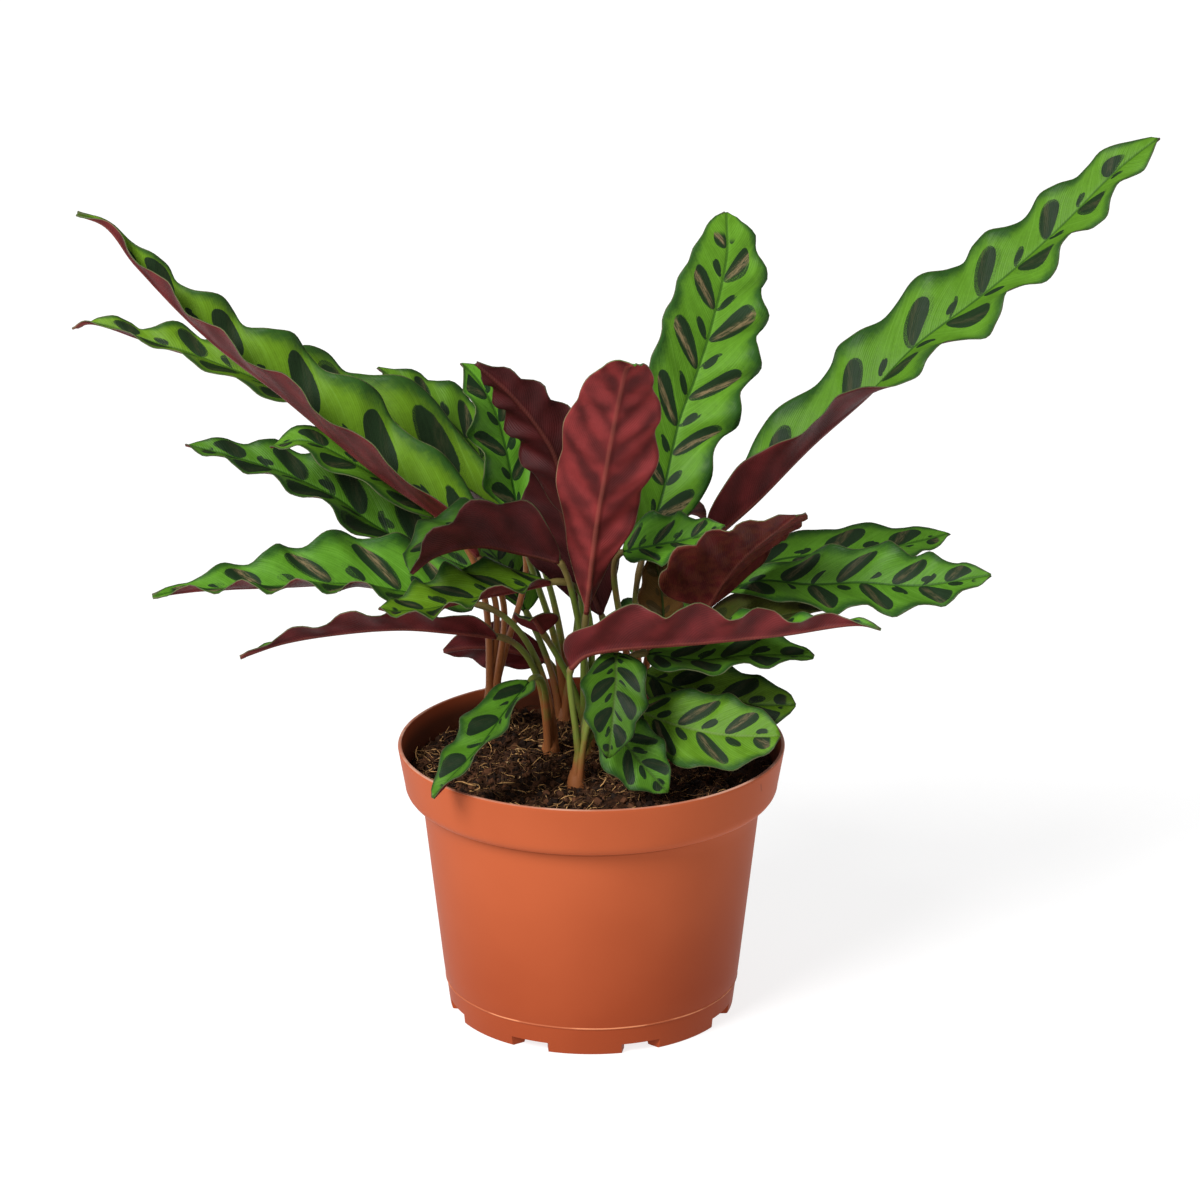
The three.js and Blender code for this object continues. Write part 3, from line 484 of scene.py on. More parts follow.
    "leaf_rear_right": dict(
        shoot="shoot_right", face=[(-0.1, -0.2, 0.95), (0.1, 0.3, 0.95)],
        path=[(20, 62, 130), (26, 80, 140), (33, 98, 143), (40, 116, 137)],
        width=30, left=15, waves=4, swing=2.2, lag=0.6,
    ),
}
leaves = {name: {**usualLeaf, **leaf} for name, leaf in leaves.items()}

blade = {
    "step": 1.9,  # mm between rows of points along a blade
    "columns": 13,  # in each half
    "crowding": 1.25,  # above 1, columns are closer together near the midrib
    "thickness": 0.38,  # mm
    "root": 1.3,  # half width where the blade leaves its stalk
    "end": 0.5,  # half width at the tip
    "slant": 0.7,  # how far a wave leans to the tip per unit of half width
    "spotStart": 0.45,  # how far before its place a spot starts at the midrib, in half widths
    "scallop": 0.75,  # how far the outline swings, as a share of the lift's swing
    "pleat": 0.4,  # depth of the pleats between midrib and margin
    "ripple": 0.09,  # small ripples on the waves, as a share of the swing
    "rippleBeats": (2.7, 3.3),  # ripples in a wave, in the outline and in the lift
    "fade": (0.06, 0.88, 0.7),  # the waves are lower at both ends: start, span and power of a half sine
    "narrow": 10,  # mm, a half width below which the outline's waves shrink
    "curl": 1.4,  # the power by which a wave's lift grows toward the margin
    "channel": 0.3,  # depth of the groove over the midrib
    "rib": 0.6,  # how far the midrib stands out below
    "ribWidth": 0.75,
    "ribThins": 0.8,  # the share of it that is gone at the tip
    "ribLeast": 0.02,  # mm, from which height it also fills the groove's underside
    "seedStep": 3.7,  # from one leaf's pattern to the next
}


def stepped(values, share):
    # one value, or several that stand at even shares of the length
    values = np.atleast_1d(values)
    return np.interp(share, np.linspace(0, 1, len(values)), values)


def halfWidth(leaf, share):
    skew = math.log(0.5) / math.log(leaf["full"])
    outline = np.sin(np.pi * np.clip(share, 0, 1) ** skew).clip(0) ** leaf["point"]
    least = blade["root"] + (blade["end"] - blade["root"]) * share
    return np.maximum(leaf["width"] / 2 * outline, least)


def turnsAt(rhythm, share):
    # how many waves or spots lie between the stalk and a share of the length; gather crowds them to the tip
    count, gather, lag = rhythm
    return count * np.sign(share) * np.abs(share) ** gather + lag


def bladeGrid(leaf):
    # the middle surface: rows of points across the blade, and what the materials read at each point
    stations = round(smoothLine(leaf["path"], 1)[1] / blade["step"])
    line, length = smoothLine(leaf["path"], stations)
    share = np.linspace(0, 1, stations + 1)
    ahead = unit(np.gradient(line, axis=0))
    face = np.array(leaf["face"], float)
    up = face[0] + (face[-1] - face[0]) * share[:, None]
    up = unit(up - ahead * np.sum(up * ahead, axis=1, keepdims=True))
    side = np.cross(ahead, up)

    column = np.linspace(-1, 1, 2 * blade["columns"] + 1)[None, :]
    out = np.abs(column) ** blade["crowding"]
    sign = np.sign(column)
    share = share[:, None]
    half = halfWidth(leaf, share)
    start, span, power = blade["fade"]
    fade = np.sin(np.pi * (start + span * share)) ** power
    right = leaf.get("right", leaf["left"])
    fold = np.radians(np.where(sign < 0, stepped(leaf["left"], share), stepped(right, share)))
    swing = np.where(sign < 0, leaf.get("leftSwing", leaf["swing"]), leaf["swing"])
    rhythm = (leaf["waves"], leaf["gather"], leaf["lag"])
    turns = turnsAt(rhythm, share - blade["slant"] * half * out / length) + 0.5 * (sign < 0)
    angle = 2 * np.pi * turns
    outBeat, liftBeat = blade["rippleBeats"]
    crest = np.cos(angle) + blade["ripple"] * np.sin(outBeat * angle + 1)
    wave = np.sin(angle) + blade["ripple"] * np.cos(liftBeat * angle)
    reach = (half + blade["scallop"] * swing * crest * fade * np.minimum(1, half / blade["narrow"])) * out
    lift = swing * wave * fade * out ** blade["curl"]
    lift = lift + blade["pleat"] * leaf["pleats"] * np.sin(2 * angle) * np.sin(np.pi * out) * fade
    lift = lift - blade["channel"] * np.exp(-((half * out / blade["ribWidth"]) ** 2))

    cos, sin = np.cos(fold)[..., None], np.sin(fold)[..., None]
    side, up = side[:, None, :], up[:, None, :]
    turned = side * sign[..., None]
    points = line[:, None, :] + (turned * cos + up * sin) * reach[..., None]
    points = points + (up * cos - turned * sin) * lift[..., None]

    whole = np.ones_like(turns)
    lean = share + half * (blade["spotStart"] - out) / length
    marks = {
        "blade": (sign * out * whole, share * length * whole, share * whole),
        "size": (half * whole, turnsAt(leaf.get("spots", rhythm), lean), leaf["spotSize"] * whole),
    }
    return points, half * out, {key: np.stack(values, -1) for key, values in marks.items()}


def makeBlade(name, leaf, seed, materials):
    points, away, marks = bladeGrid(leaf)
    rows, across = points.shape[:2]
    normal = unit(np.cross(np.gradient(points, axis=1), np.gradient(points, axis=0)))
    share = np.linspace(0, 1, rows)[:, None]
    thick = blade["thickness"] / 2 * np.ones_like(away)
    rib = blade["rib"] * (1 - blade["ribThins"] * share) * np.exp(-((away / blade["ribWidth"]) ** 2))
    upper = points + normal * thick[..., None]
    keel = rib + blade["channel"] * (rib > blade["ribLeast"])
    lower = points - normal * (thick + keel)[..., None]

    index = np.arange(rows * across).reshape(rows, across)
    corners = index[:-1, :-1], index[:-1, 1:], index[1:, 1:], index[1:, :-1]
    a, b, c, d = (corner.ravel() for corner in corners)
    top = np.stack([a, b, c, d], 1)
    below = np.stack([a, d, c, b], 1) + rows * across
    loop = np.concatenate([index[0, :-1], index[:-1, -1], index[-1, :0:-1], index[:0:-1, 0]])
    following = np.roll(loop, -1)
    edge = np.stack([following, loop, loop + rows * across, following + rows * across], 1)
    faces = np.vstack([top, below, edge]).tolist()
    materialOf = [0] * len(top) + [1] * len(below) + [0] * len(edge)

    tone = (leaf["toneAndShade"], leaf["bronze"], seed)
    marks["tone"] = np.broadcast_to(tone, points.shape)
    cast = (leaf["warm"], leaf["age"], leaf["paleRib"])
    marks["cast"] = np.broadcast_to(cast, points.shape)
    attributes = {key: np.vstack([value.reshape(-1, 3)] * 2) for key, value in marks.items()}
    both = np.vstack([upper.reshape(-1, 3), lower.reshape(-1, 3)])
    return meshObject(name, both, faces, materials, materialOf, attributes)


# leaf materials
leafLook = {
    "green": (0.084, 0.245, 0.017),
    "warmGreen": (0.125, 0.24, 0.008),
    "paleGreen": (0.18, 0.335, 0.065),
    "deepGreen": (0.018, 0.066, 0.012),
    "spotGreen": (0.009, 0.022, 0.010),
    "bronze": (0.22, 0.16, 0.08),
    "midrib": (0.16, 0.27, 0.05),
    "midribDark": (0.010, 0.05, 0.006),
    "edge": (0.26, 0.27, 0.14),
    "greenEdge": (0.13, 0.12, 0.06),
    "brown": (0.16, 0.055, 0.016),
    "wine": (0.120, 0.014, 0.015),
    "wineLight": (0.285, 0.035, 0.034),
    "wineDark": (0.05, 0.006, 0.006),
    "wineRib": (0.24, 0.06, 0.04),
    "spotReach": 0.34,  # half the length of a spot, as a share of the half width
    "spotWidth": 0.22,  # half its width, in waves
    "spotsFrom": (0.04, 0.06),  # shares of the length between which the spots appear
    "spotsTo": (0.95, 0.93),  # and where they are gone
    "smallReach": 0.13,
    "smallWidth": 0.1,
    "smallTo": (0.93, 0.91),
    "veinStep": 1.3,  # mm
    "margin": (0.7, 1.02),  # shares of the half width between which the green deepens
    "rim": (0.38, 0.15),  # mm from the margin, where its thin pale line starts and is full
    "rib": (0.8, 0.4),  # mm from the middle, likewise for the midrib
    "ribBelow": (0.95, 0.45),
    "lowerSeed": 40,  # sets the underside's pattern apart from the upper side's
    "shine": 0.12,
    "shineBelow": 0.14,
}
fullTurn = 6.283  # radians


def leafMarks(maker):
    out, along, share = maker.axes(maker.attribute("blade"))
    half, turn, spotSize = maker.axes(maker.attribute("size"))
    toneAndShade, bronze, seed = maker.axes(maker.attribute("tone"))
    warm, age, paleRib = maker.axes(maker.attribute("cast"))
    away = abs(out)
    onLeft = out < 0
    turn = turn + onLeft * 0.5
    vein = (along - half * away * (away * 0.5 + 1)) / leafLook["veinStep"]
    return {
        "away": away, "along": along, "share": share, "half": half, "toneAndShade": toneAndShade, "bronze": bronze,
        "seed": seed, "warm": warm, "age": age, "paleRib": paleRib, "onLeft": onLeft, "turn": turn,
        "vein": vein, "spotSize": spotSize,
    }


def oval(u, v):
    # positive inside the oval, negative outside
    return 1 - (u * u + v * v)


def upperMaterial():
    material, maker = newMaterial("leafUpper")
    look, m = leafLook, leafMarks(maker)
    away, share, turn = m["away"], m["share"], m["turn"]
    grain = maker.vector(m["along"] * 0.1, away * m["half"] * 0.1, m["seed"])
    rough = maker.noise(grain, 3.0, 4, 0.6)

    # long spots, one in each wave, smaller toward both ends of the leaf, and a small one between two
    whole = (turn + 0.5).floor()
    luck = maker.node("ShaderNodeTexWhiteNoise", {"noise_dimensions": "3D"},
                      {"Vector": maker.vector(whole, m["onLeft"], m["seed"])}, out="Color")
    first, second, third = maker.axes(luck)
    taper = share.rise(0.03, 0.16) * share.rise(0.985, 0.86)
    size = m["spotSize"]
    reach = (look["spotReach"] + first * 0.06) * (taper * 0.35 + 0.65) * (size * 0.4 + 0.6)
    u = (away - 0.02 - reach) / reach
    v = (turn - whole + (second - 0.5) * 0.08) / ((u * 0.2 + 0.9) * (look["spotWidth"] + third * 0.03) * size)
    wobble = (rough - 0.5) * 0.25
    within = share.rise(*look["spotsFrom"]), share.rise(*look["spotsTo"])
    long = (oval(u, v) + wobble).rise(-0.02, 0.05) * within[0] * within[1]
    between = turn - turn.floor() - 0.5
    small = oval((away - 0.2) / (look["smallReach"] * (0.6 + first)), between / look["smallWidth"] / size)
    small = (small + wobble).rise(-0.03, 0.08) * third.rise(0.12, 0.13) * share.rise(*look["smallTo"])
    spot = long.larger(small)

    # a narrow band of bronze along each spot, broken up by the grain
    streak = maker.noise(maker.vector(turn * 14, away * 2.5, m["seed"]), 2.0, 5, 0.7)
    band = abs(v + 0.22).rise(0.4, 0.15) * (streak.rise(0.36, 0.62))
    bronzed = (band * m["bronze"] * long * u.rise(-1, -0.4)).smaller(1)

    # fine veins, broad lighter bands along them, and a margin that is deeper in colour at the waves
    veins = (m["vein"] * fullTurn + rough * 3).sine()
    fan = maker.noise(maker.vector(m["vein"] * 0.7, away * 0.5, m["seed"]), 1.0, 3, 0.7)
    shade = veins * 0.05 + rough * 0.4 + fan * 0.5 + 0.55
    lobe = ((turn * fullTurn).sine() * 0.5 + 0.5) * away
    margin = (away + (rough - 0.5) * 0.3 + lobe * 0.08).rise(*look["margin"])
    # the yellow cast is partly the leaf's own tint, partly painted light shining through the blade
    base = maker.mix(m["warm"], look["green"], look["warmGreen"])
    base = maker.mix(fan.rise(0.5, 0.85) * 0.35, base, look["paleGreen"])
    base = maker.mix((margin * 0.92).smaller(1), base, look["deepGreen"])
    base = maker.mix(m["age"] * (rough + m["age"] * 0.4).rise(0.4, 0.65), base, look["brown"])
    base = maker.mix(spot * (0.96 - m["age"] * 0.5), base, look["spotGreen"])
    base = maker.mix(bronzed, base, look["bronze"])
    ribTone = maker.mix(m["paleRib"], look["midribDark"], look["midrib"])
    centre = (away * m["half"]).rise(*look["rib"])
    base = maker.mix(centre * (0.9 - share * 0.4), base, ribTone)
    rim = ((1 - away) * m["half"]).rise(*look["rim"])
    base = maker.mix(rim * (rough.rise(0.3, 0.6) * 0.4 + 0.25), base, look["greenEdge"])
    # the leaf's lightness: partly its own tone, partly painted shade on a leaf in shadow and painted light on
    # a lit one
    base = maker.shaded(base, shade * m["toneAndShade"])

    relief = maker.bump(veins * 0.12 + rough + fan, 0.2, 0.8)
    maker.finish(base, 0.36 + rough * 0.2 + spot * 0.08, look["shine"], relief)
    return material


def lowerMaterial():
    # wine red with painted light and shade in soft bands along the pleats, and a painted highlight on a leaf
    # marked lighter than usual
    material, maker = newMaterial("leafUnderside")
    look, m = leafLook, leafMarks(maker)
    away, share = m["away"], m["share"]
    grain = maker.vector(m["along"] * 0.1, away * m["half"] * 0.1, m["seed"] + look["lowerSeed"])
    rough = maker.noise(grain, 2.5, 4, 0.6)
    broad = maker.noise(grain, 0.9, 1, 0.5)
    veins = (m["vein"] * fullTurn + rough * 2).sine()
    # painted light and shade: soft lighter and darker bands along the pleats
    pleat = (m["vein"] * 0.5 + broad * 2.5).sine() * 0.5 + 0.5
    tone = pleat * (broad * 0.45 + 0.1) + broad * 0.75 + rough * 0.2 + away * 0.1 - 0.22
    base = maker.mix(tone.rise(0, 1), look["wineDark"], look["wine"])
    # painted highlight, only on a leaf whose lightness is above 1
    base = maker.mix((m["toneAndShade"] - 1).rise(0, 1) * tone.rise(0.1, 0.8), base, look["wineLight"])
    base = maker.mix(veins.rise(0.75, 1) * 0.18, base, look["wineLight"])
    base = maker.mix(m["age"] * rough.rise(0.4, 0.6) * 0.6, base, look["brown"])
    rib = (away * m["half"]).rise(*look["ribBelow"]) * (1 - share * 0.5)
    base = maker.mix(rib * 0.5, base, look["wineRib"])
    rim = ((1 - away) * m["half"]).rise(*look["rim"])
    base = maker.mix(rim * 0.35, base, look["edge"])
    # painted shade on a wine leaf that lies in shadow, with some random tone
    base = maker.shaded(base, m["toneAndShade"].smaller(1) * (rough * 0.3 + 0.85))
    relief = maker.bump(veins * 0.5 + rough, 0.12, 0.6)
    maker.finish(base, 0.46 + rough * 0.16, look["shineBelow"], relief)
    return material


bladeMaterials = [upperMaterial(), lowerMaterial()]
for number, (name, leaf) in enumerate(leaves.items()):
    piece = makeBlade(name.replace("leaf_", "blade_"), leaf, number * blade["seedStep"], bladeMaterials)
    keepPiece(piece, [name])
print("blades made:", len(leaves))

# leafy shoots
shoots = {
    "shoot_front": {"foot": (-6, -27), "slot": "stalk_green", "tone": 0.35},
    "shoot_left_front": {"foot": (-17, 10), "slot": "stalk_green", "tone": 0.5},
    "shoot_left": {"foot": (-43, 38), "slot": "stalk_brown", "tone": 1.0},
    "shoot_middle": {"foot": (-2, 6), "slot": "stalk_green", "tone": 0.25},
    "shoot_back": {"foot": (-12, 50), "slot": "stalk_green", "tone": 0.4},
    "shoot_right": {"foot": (20, 30), "slot": "stalk_brown", "tone": 0.75},
    "shoot_right_front": {"foot": (30, 0), "slot": "stalk_green", "tone": 0.55},
}

stalk = {
    "sides": 12,
    "steps": 40,
    "startSteps": 60,  # the midrib's heading at its start is that of its first step of so many
    "footZ": 101,
    "spread": 1.8,  # from the middle of the sheath to a stalk
    "gap": 0.3,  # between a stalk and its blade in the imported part
    "rise": 0.45,  # how far a stalk goes straight up, as a share of its reach
    "radii": [(0, 2.0), (0.1, 1.85), (0.3, 1.6), (0.4, 1.4), (0.86, 1.25), (0.9, 1.5), (0.97, 1.5), (1, 1.1)],
    "soilZ": 103, "ripeTop": 62,  # a stalk may be brown between the soil and this far above it
    "sheathFootZ": 92,
    "sheathRadii": [(0, 4.2), (0.7, 4.1), (0.86, 3.5), (1, 2.6)],
    "sheathTopZ": 112,
    "sheathPoints": 9,
}

stalkLook = {
    "green": (0.13, 0.20, 0.025),
    "olive": (0.17, 0.15, 0.03),
    "brown": (0.31, 0.105, 0.032),
    "pink": (0.17, 0.07, 0.035),
    "dark": (0.055, 0.022, 0.018),
    "fibres": (900, 900, 60),  # per metre across and along
    "wrist": (0.82, 0.88),  # where the thick end under the blade begins
    "shine": 0.28,
}


def stalkMaterial():
    material, maker = newMaterial("leafStalk")
    along, tone = maker.axes(maker.attribute("stalk"))[:2]
    spot = maker.node("ShaderNodeVectorMath", {"operation": "MULTIPLY"},
                      {0: maker.place(), 1: stalkLook["fibres"]})
    fibres = maker.noise(spot, 1.0, 3, 0.6)
    blotch = maker.noise(maker.place(), 110.0, 3, 0.6)
    base = maker.mix(tone, stalkLook["green"], stalkLook["olive"])
    ripe = (tone * 0.9 - along + (blotch - 0.5) * 0.6 + 0.15).rise(0, 0.3)
    base = maker.mix(ripe, base, stalkLook["brown"])
    wrist = along.rise(*stalkLook["wrist"])
    base = maker.mix(wrist * 0.6, base, stalkLook["pink"])
    base = maker.mix(fibres.rise(0.55, 0.8) * 0.45, base, stalkLook["dark"])
    maker.finish(base, 0.4 + blotch * 0.25, stalkLook["shine"], maker.bump(fibres, 0.15, 0.7))
    return material


def stalkTree():
    # sweeps a ring along every line of the host curve; the line's own radius sets the ring's size
    tree, maker, given = nodeGroup("sweepStalks", {"Sides": "Int", "Look": "Material"})
    length = maker.node("GeometryNodeSplineParameter", out="Factor")
    kept = maker.node("GeometryNodeStoreNamedAttribute", {"data_type": "FLOAT", "domain": "POINT"},
                      {"Geometry": given["Geometry"], "Name": "along", "Value": length})
    ring = maker.node("GeometryNodeCurvePrimitiveCircle",
                      values={"Resolution": given["Sides"], "Radius": 1.0})
    swept = maker.node("GeometryNodeCurveToMesh", values={
        "Curve": kept, "Profile Curve": ring, "Scale": maker.node("GeometryNodeInputRadius"),
        "Fill Caps": True})
    smooth = maker.node("GeometryNodeSetShadeSmooth", values={"Geometry": swept})
    maker.clothe(smooth, given["Look"])
    return tree


def bezier(a, b, c, d, share):
    share = share[:, None]
    rest = 1 - share
    return a * rest**3 + 3 * b * rest**2 * share + 3 * c * rest * share**2 + d * share**3


def stalkLine(leaf, foot):
    path = smoothLine(leaf["path"], stalk["startSteps"])[0]
    ahead = unit(path[1] - path[0])
    end = path[0] + ahead * stalk["gap"]
    reach = np.linalg.norm(end - foot)
    above = foot + np.array([0, 0, reach * stalk["rise"]])
    before = end - ahead * reach * leaf["bend"]
    return bezier(foot, above, before, end, np.linspace(0, 1, stalk["steps"] + 1))


def makeShoot(name, shoot, tree, material):
    curve = bpy.data.curves.new(name, "CURVE")
    curve.dimensions = "3D"
    middle = np.array([*shoot["foot"], 0.0])
    own = [leaf for leaf in leaves.values() if leaf["shoot"] == name]
    lines = []
    for i, leaf in enumerate(own):
        angle = i * 2 * math.pi / len(own)
        beside = np.array([math.cos(angle), math.sin(angle), 0]) * stalk["spread"]
        lines.append((stalkLine(leaf, middle + beside + [0, 0, stalk["footZ"]]), stalk["radii"]))
    heights = np.linspace(stalk["sheathFootZ"], stalk["sheathTopZ"], stalk["sheathPoints"])
    lines.append((middle + np.outer(heights, [0, 0, 1]), stalk["sheathRadii"]))
    for points, radii in lines:
        spline = curve.splines.new("POLY")
        spline.points.add(len(points) - 1)
        places = np.hstack([points * mm, np.ones((len(points), 1))])
        spline.points.foreach_set("co", places.ravel())
        share = np.linspace(0, 1, len(points))
        spline.points.foreach_set("radius", np.interp(share, *zip(*radii)) * mm)
    values = {"Sides": stalk["sides"], "Look": material}
    piece = runTree(newObject(name, curve), tree, values, name.replace("shoot_", "stalks_"))
    mesh = piece.data
    along = np.zeros(len(mesh.vertices))
    mesh.attributes["along"].data.foreach_get("value", along)
    places = np.zeros(3 * len(mesh.vertices))
    mesh.vertices.foreach_get("co", places)
    along = np.minimum(along, (places[2::3] / mm - stalk["soilZ"]).clip(0) / stalk["ripeTop"])
    marks = np.stack([along, np.full_like(along, shoot["tone"]), np.zeros_like(along)], 1)
    mesh.attributes.new("stalk", "FLOAT_VECTOR", "POINT").data.foreach_set("vector", marks.ravel())
    mesh.attributes.remove(mesh.attributes["along"])
    return piece


stalkNodes = stalkTree()
stalkFinish = stalkMaterial()
for name, shoot in shoots.items():
    keepPiece(makeShoot(name, shoot, stalkNodes, stalkFinish), [name])
print("shoots made:", len(shoots))

# pot
pot = {
    "height": 115, "collarFootZ": 92.7, "partingZ": 12.2, "floorTopZ": 8, "hollowZ": 5,
    "rim": 80, "bodyTop": 70.3, "parting": 61.4, "foot": 59.5, "pad": 12,  # radii
    "footRing": 5.5, "wall": 1.8, "shoulder": (5.4, 5.6),  # width and height of the round under the collar
    "sideSteps": 10, "shoulderSteps": 6, "segments": 192, "sharpAngle": 40,
    "notchCount": 8, "notchWidth": 17, "notchHeight": 4.2, "notchDepth": 12, "notchSplay": 0.8,
    "notchTurn": -25,  # degrees
}

potLook = {
    "clay": (0.41, 0.088, 0.031),
    "deep": (0.28, 0.050, 0.016),
    "pale": (0.66, 0.25, 0.12),
    "lipHighlight": (0.80, 0.50, 0.37),
    "stainAndShade": (0.05, 0.020, 0.012),
    "crease": (0.16, 0.030, 0.012),
    # in mm; a pair says where a colour starts to show and where it is full
    "lowShadeTop": 95,  # painted shade: the wall is darker from here down
    "partingLine": (0.4, 0.15),  # beside the parting line, its pale edge
    "lipHighlightFrom": (0.55, 0.1),  # below the top, the painted highlight along the lip
    "inside": (60.2, 59.6), "insideLean": 0.168,  # the collar's inner side, which leans outward as it rises
    "insideFoot": (98.6, 99.2), "stainAndShadeBand": (-1, 8),  # on it from its foot and from the top, a darkening, partly the soil's stain and partly painted shade
    "creaseUnder": (-1.7, -0.5), "creaseOver": (0.9, 0.3),  # from the collar's foot, the crease's shade
    "mark": (69, 109), "markWidth": (0.45, 0.1), "markHeight": (2.6, 1.4),  # a short faint line in front
    "shine": 0.06,
}


def potProfile():
    # radius and height pairs from the middle of the pad below, round the foot, the parting line, the wall,
    # the collar and the rim, and down the inner side to the middle of the floor
    p = pot
    body, foot, part, collar = p["bodyTop"], p["foot"], p["parting"], p["collarFootZ"]
    ring = foot - p["footRing"]
    under = [(0, 0), (p["pad"], 0), (p["pad"] + 1, p["hollowZ"]), (ring - 1, p["hollowZ"]),
             (ring, 0.2), (ring + 0.2, 0), (foot - 0.5, 0), (foot - 0.1, 0.2), (foot + 0.02, 0.6)]
    line = [(part - 0.5, p["partingZ"] - 0.7), (part - 0.1, p["partingZ"] - 0.35),
            (part + 0.05, p["partingZ"]), (part - 0.15, p["partingZ"] + 0.35), (part, p["partingZ"] + 0.8)]
    steps = p["sideSteps"]
    side = [(part + (body - part) * k / steps, p["partingZ"] + (collar - p["partingZ"]) * k / steps)
            for k in range(1, steps)]
    turn = [(body, collar - 0.8), (body + 0.3, collar - 0.2), (body + 1.2, collar + 0.1)]
    wide, tall = p["shoulder"]
    for k in range(p["shoulderSteps"] + 1):  # the round shoulder under the collar
        angle = math.radians(90 * k / p["shoulderSteps"])
        turn.append((body + 1.6 + wide * math.sin(angle), collar + 0.2 + tall * (1 - math.cos(angle))))
    rim = p["rim"]
    top = [(rim - 0.35, p["height"] - 3), (rim - 0.1, p["height"] - 1.5), (rim, p["height"] - 0.8),
           (rim - 0.2, p["height"] - 0.25), (rim - 0.8, p["height"]), (rim - 1.4, p["height"] - 0.15),
           (rim - 1.8, p["height"] - 0.8)]
    inside = [(body + 5.4, collar + 7), (body + 4.2, collar + 4.4), (body - p["wall"] + 0.4, collar + 2.3),
              (body - p["wall"], collar + 1.4), (part - p["wall"], p["partingZ"]),
              (foot - 3, p["floorTopZ"]), (0, p["floorTopZ"])]
    return under + line + side + turn + top + inside


def turnedMesh(name, profile, segments, material):
    # the profile's first and last points lie on the axis
    angles = np.arange(segments) * 2 * np.pi / segments
    ring = np.stack([np.cos(angles), np.sin(angles)], 1)
    points = [(0, 0, profile[0][1])]
    for radius, z in profile[1:-1]:
        points.extend((radius * x, radius * y, z) for x, y in ring)
    points.append((0, 0, profile[-1][1]))
    faces = []
    last = len(points) - 1
    for k in range(segments):
        following = (k + 1) % segments
        faces.append((0, 1 + following, 1 + k))
        for i in range(len(profile) - 3):
            low, high = 1 + i * segments, 1 + (i + 1) * segments
            faces.append((low + k, low + following, high + following, high + k))
        end = last - segments
        faces.append((end + k, end + following, last))
    return meshObject(name, points, faces, [material])


def notchTree():
    # cuts evenly spaced boxes out of the foot ring
    sizes = {"Count": "Int", "Radius": "Float", "Box": "Vector", "Splay": "Float", "Turn": "Float",
             "Look": "Material"}
    tree, maker, given = nodeGroup("footNotches", sizes)
    circle = maker.node("GeometryNodeMeshCircle",
                        values={"Vertices": given["Count"], "Radius": given["Radius"]})
    box = maker.node("GeometryNodeMeshCube", values={"Size": given["Box"]})
    x, y, z = maker.axes(maker.node("GeometryNodeInputPosition"))
    wedge = maker.node("GeometryNodeSetPosition", values={
        "Geometry": box, "Position": maker.vector(x * (y * given["Splay"] + 1), y, z)})
    outward = maker.node("FunctionNodeAlignRotationToVector", {"axis": "Y"},
                         {"Vector": maker.node("GeometryNodeInputPosition")})
    boxes = maker.node("GeometryNodeInstanceOnPoints", values={
        "Points": circle, "Instance": wedge, "Rotation": outward})
    turned = maker.node("GeometryNodeTransform", values={
        "Geometry": maker.node("GeometryNodeRealizeInstances", values={"Geometry": boxes}),
        "Rotation": maker.vector(0.0, 0.0, given["Turn"])})
    cut = maker.node("GeometryNodeMeshBoolean", {"operation": "DIFFERENCE", "solver": "EXACT"},
                     {"Mesh 1": given["Geometry"], "Mesh 2": turned})
    solid = maker.node("GeometryNodeRealizeInstances", values={"Geometry": cut})
    maker.clothe(solid, given["Look"])
    return tree


def potMaterial():
    material, maker = newMaterial("potPlastic")
    place = maker.place()
    x, y, z = maker.axes(place)
    cloud = maker.noise(place, 14.0, 3, 0.5)
    grain = maker.noise(place, 900.0, 2, 0.6)
    # painted shade: the wall gets darker towards the bottom
    low = z.rise(potLook["lowShadeTop"] * mm, 0.0) * 0.85
    base = maker.mix((cloud.rise(0.3, 0.75) * 0.3 + low).smaller(1), potLook["clay"], potLook["deep"])
    waver = (maker.noise(place, 35.0, 1, 0.5) - 0.5) * mm
    parting = abs(z - (pot["partingZ"] + 0.1) * mm + waver).riseMm(*potLook["partingLine"])
    # breaks up both the worn parting line and the painted highlight on the lip
    wearAndHighlight = maker.noise(place, 60.0, 2, 0.6).rise(0.42, 0.6)
    base = maker.mix(parting * (wearAndHighlight * 0.6 + 0.25), base, potLook["pale"])
    reach = (x * x + y * y) ** 0.5
    # painted highlight: a pale line along the top of the rim
    top = z.riseMm(*(pot["height"] - depth for depth in potLook["lipHighlightFrom"]))
    base = maker.mix(top * (wearAndHighlight * 0.35 + 0.25), base, potLook["lipHighlight"])
    # inside the collar above the soil: darker, partly the soil's stain and partly painted shade
    within = (reach - z * potLook["insideLean"]).riseMm(*potLook["inside"])
    within = within * z.riseMm(*potLook["insideFoot"])
    stainAndShadeBand = z.riseMm(*(pot["height"] - depth for depth in potLook["stainAndShadeBand"]))
    base = maker.mix((within * stainAndShadeBand * (cloud * 0.5 + 0.6)).smaller(1), base, potLook["stainAndShade"])
    under = z.riseMm(*(pot["collarFootZ"] + above for above in potLook["creaseUnder"]))
    under = under * z.riseMm(*(pot["collarFootZ"] + above for above in potLook["creaseOver"]))
    base = maker.mix(under * 0.85, base, potLook["crease"])
    markX, markZ = (value * mm for value in potLook["mark"])
    beside = abs((z - markZ) * 0.1 + (x - markX))
    mark = beside.riseMm(*potLook["markWidth"])
    mark = mark * abs(z - markZ).riseMm(*potLook["markHeight"]) * (y < 0)
    base = maker.mix(mark * 0.45, base, potLook["crease"])
    relief = maker.bump(grain * 0.6 + cloud * 2, 0.03, 0.35)
    maker.finish(base, 0.44 + cloud * 0.1 + parting * 0.1, potLook["shine"], relief)
    return material


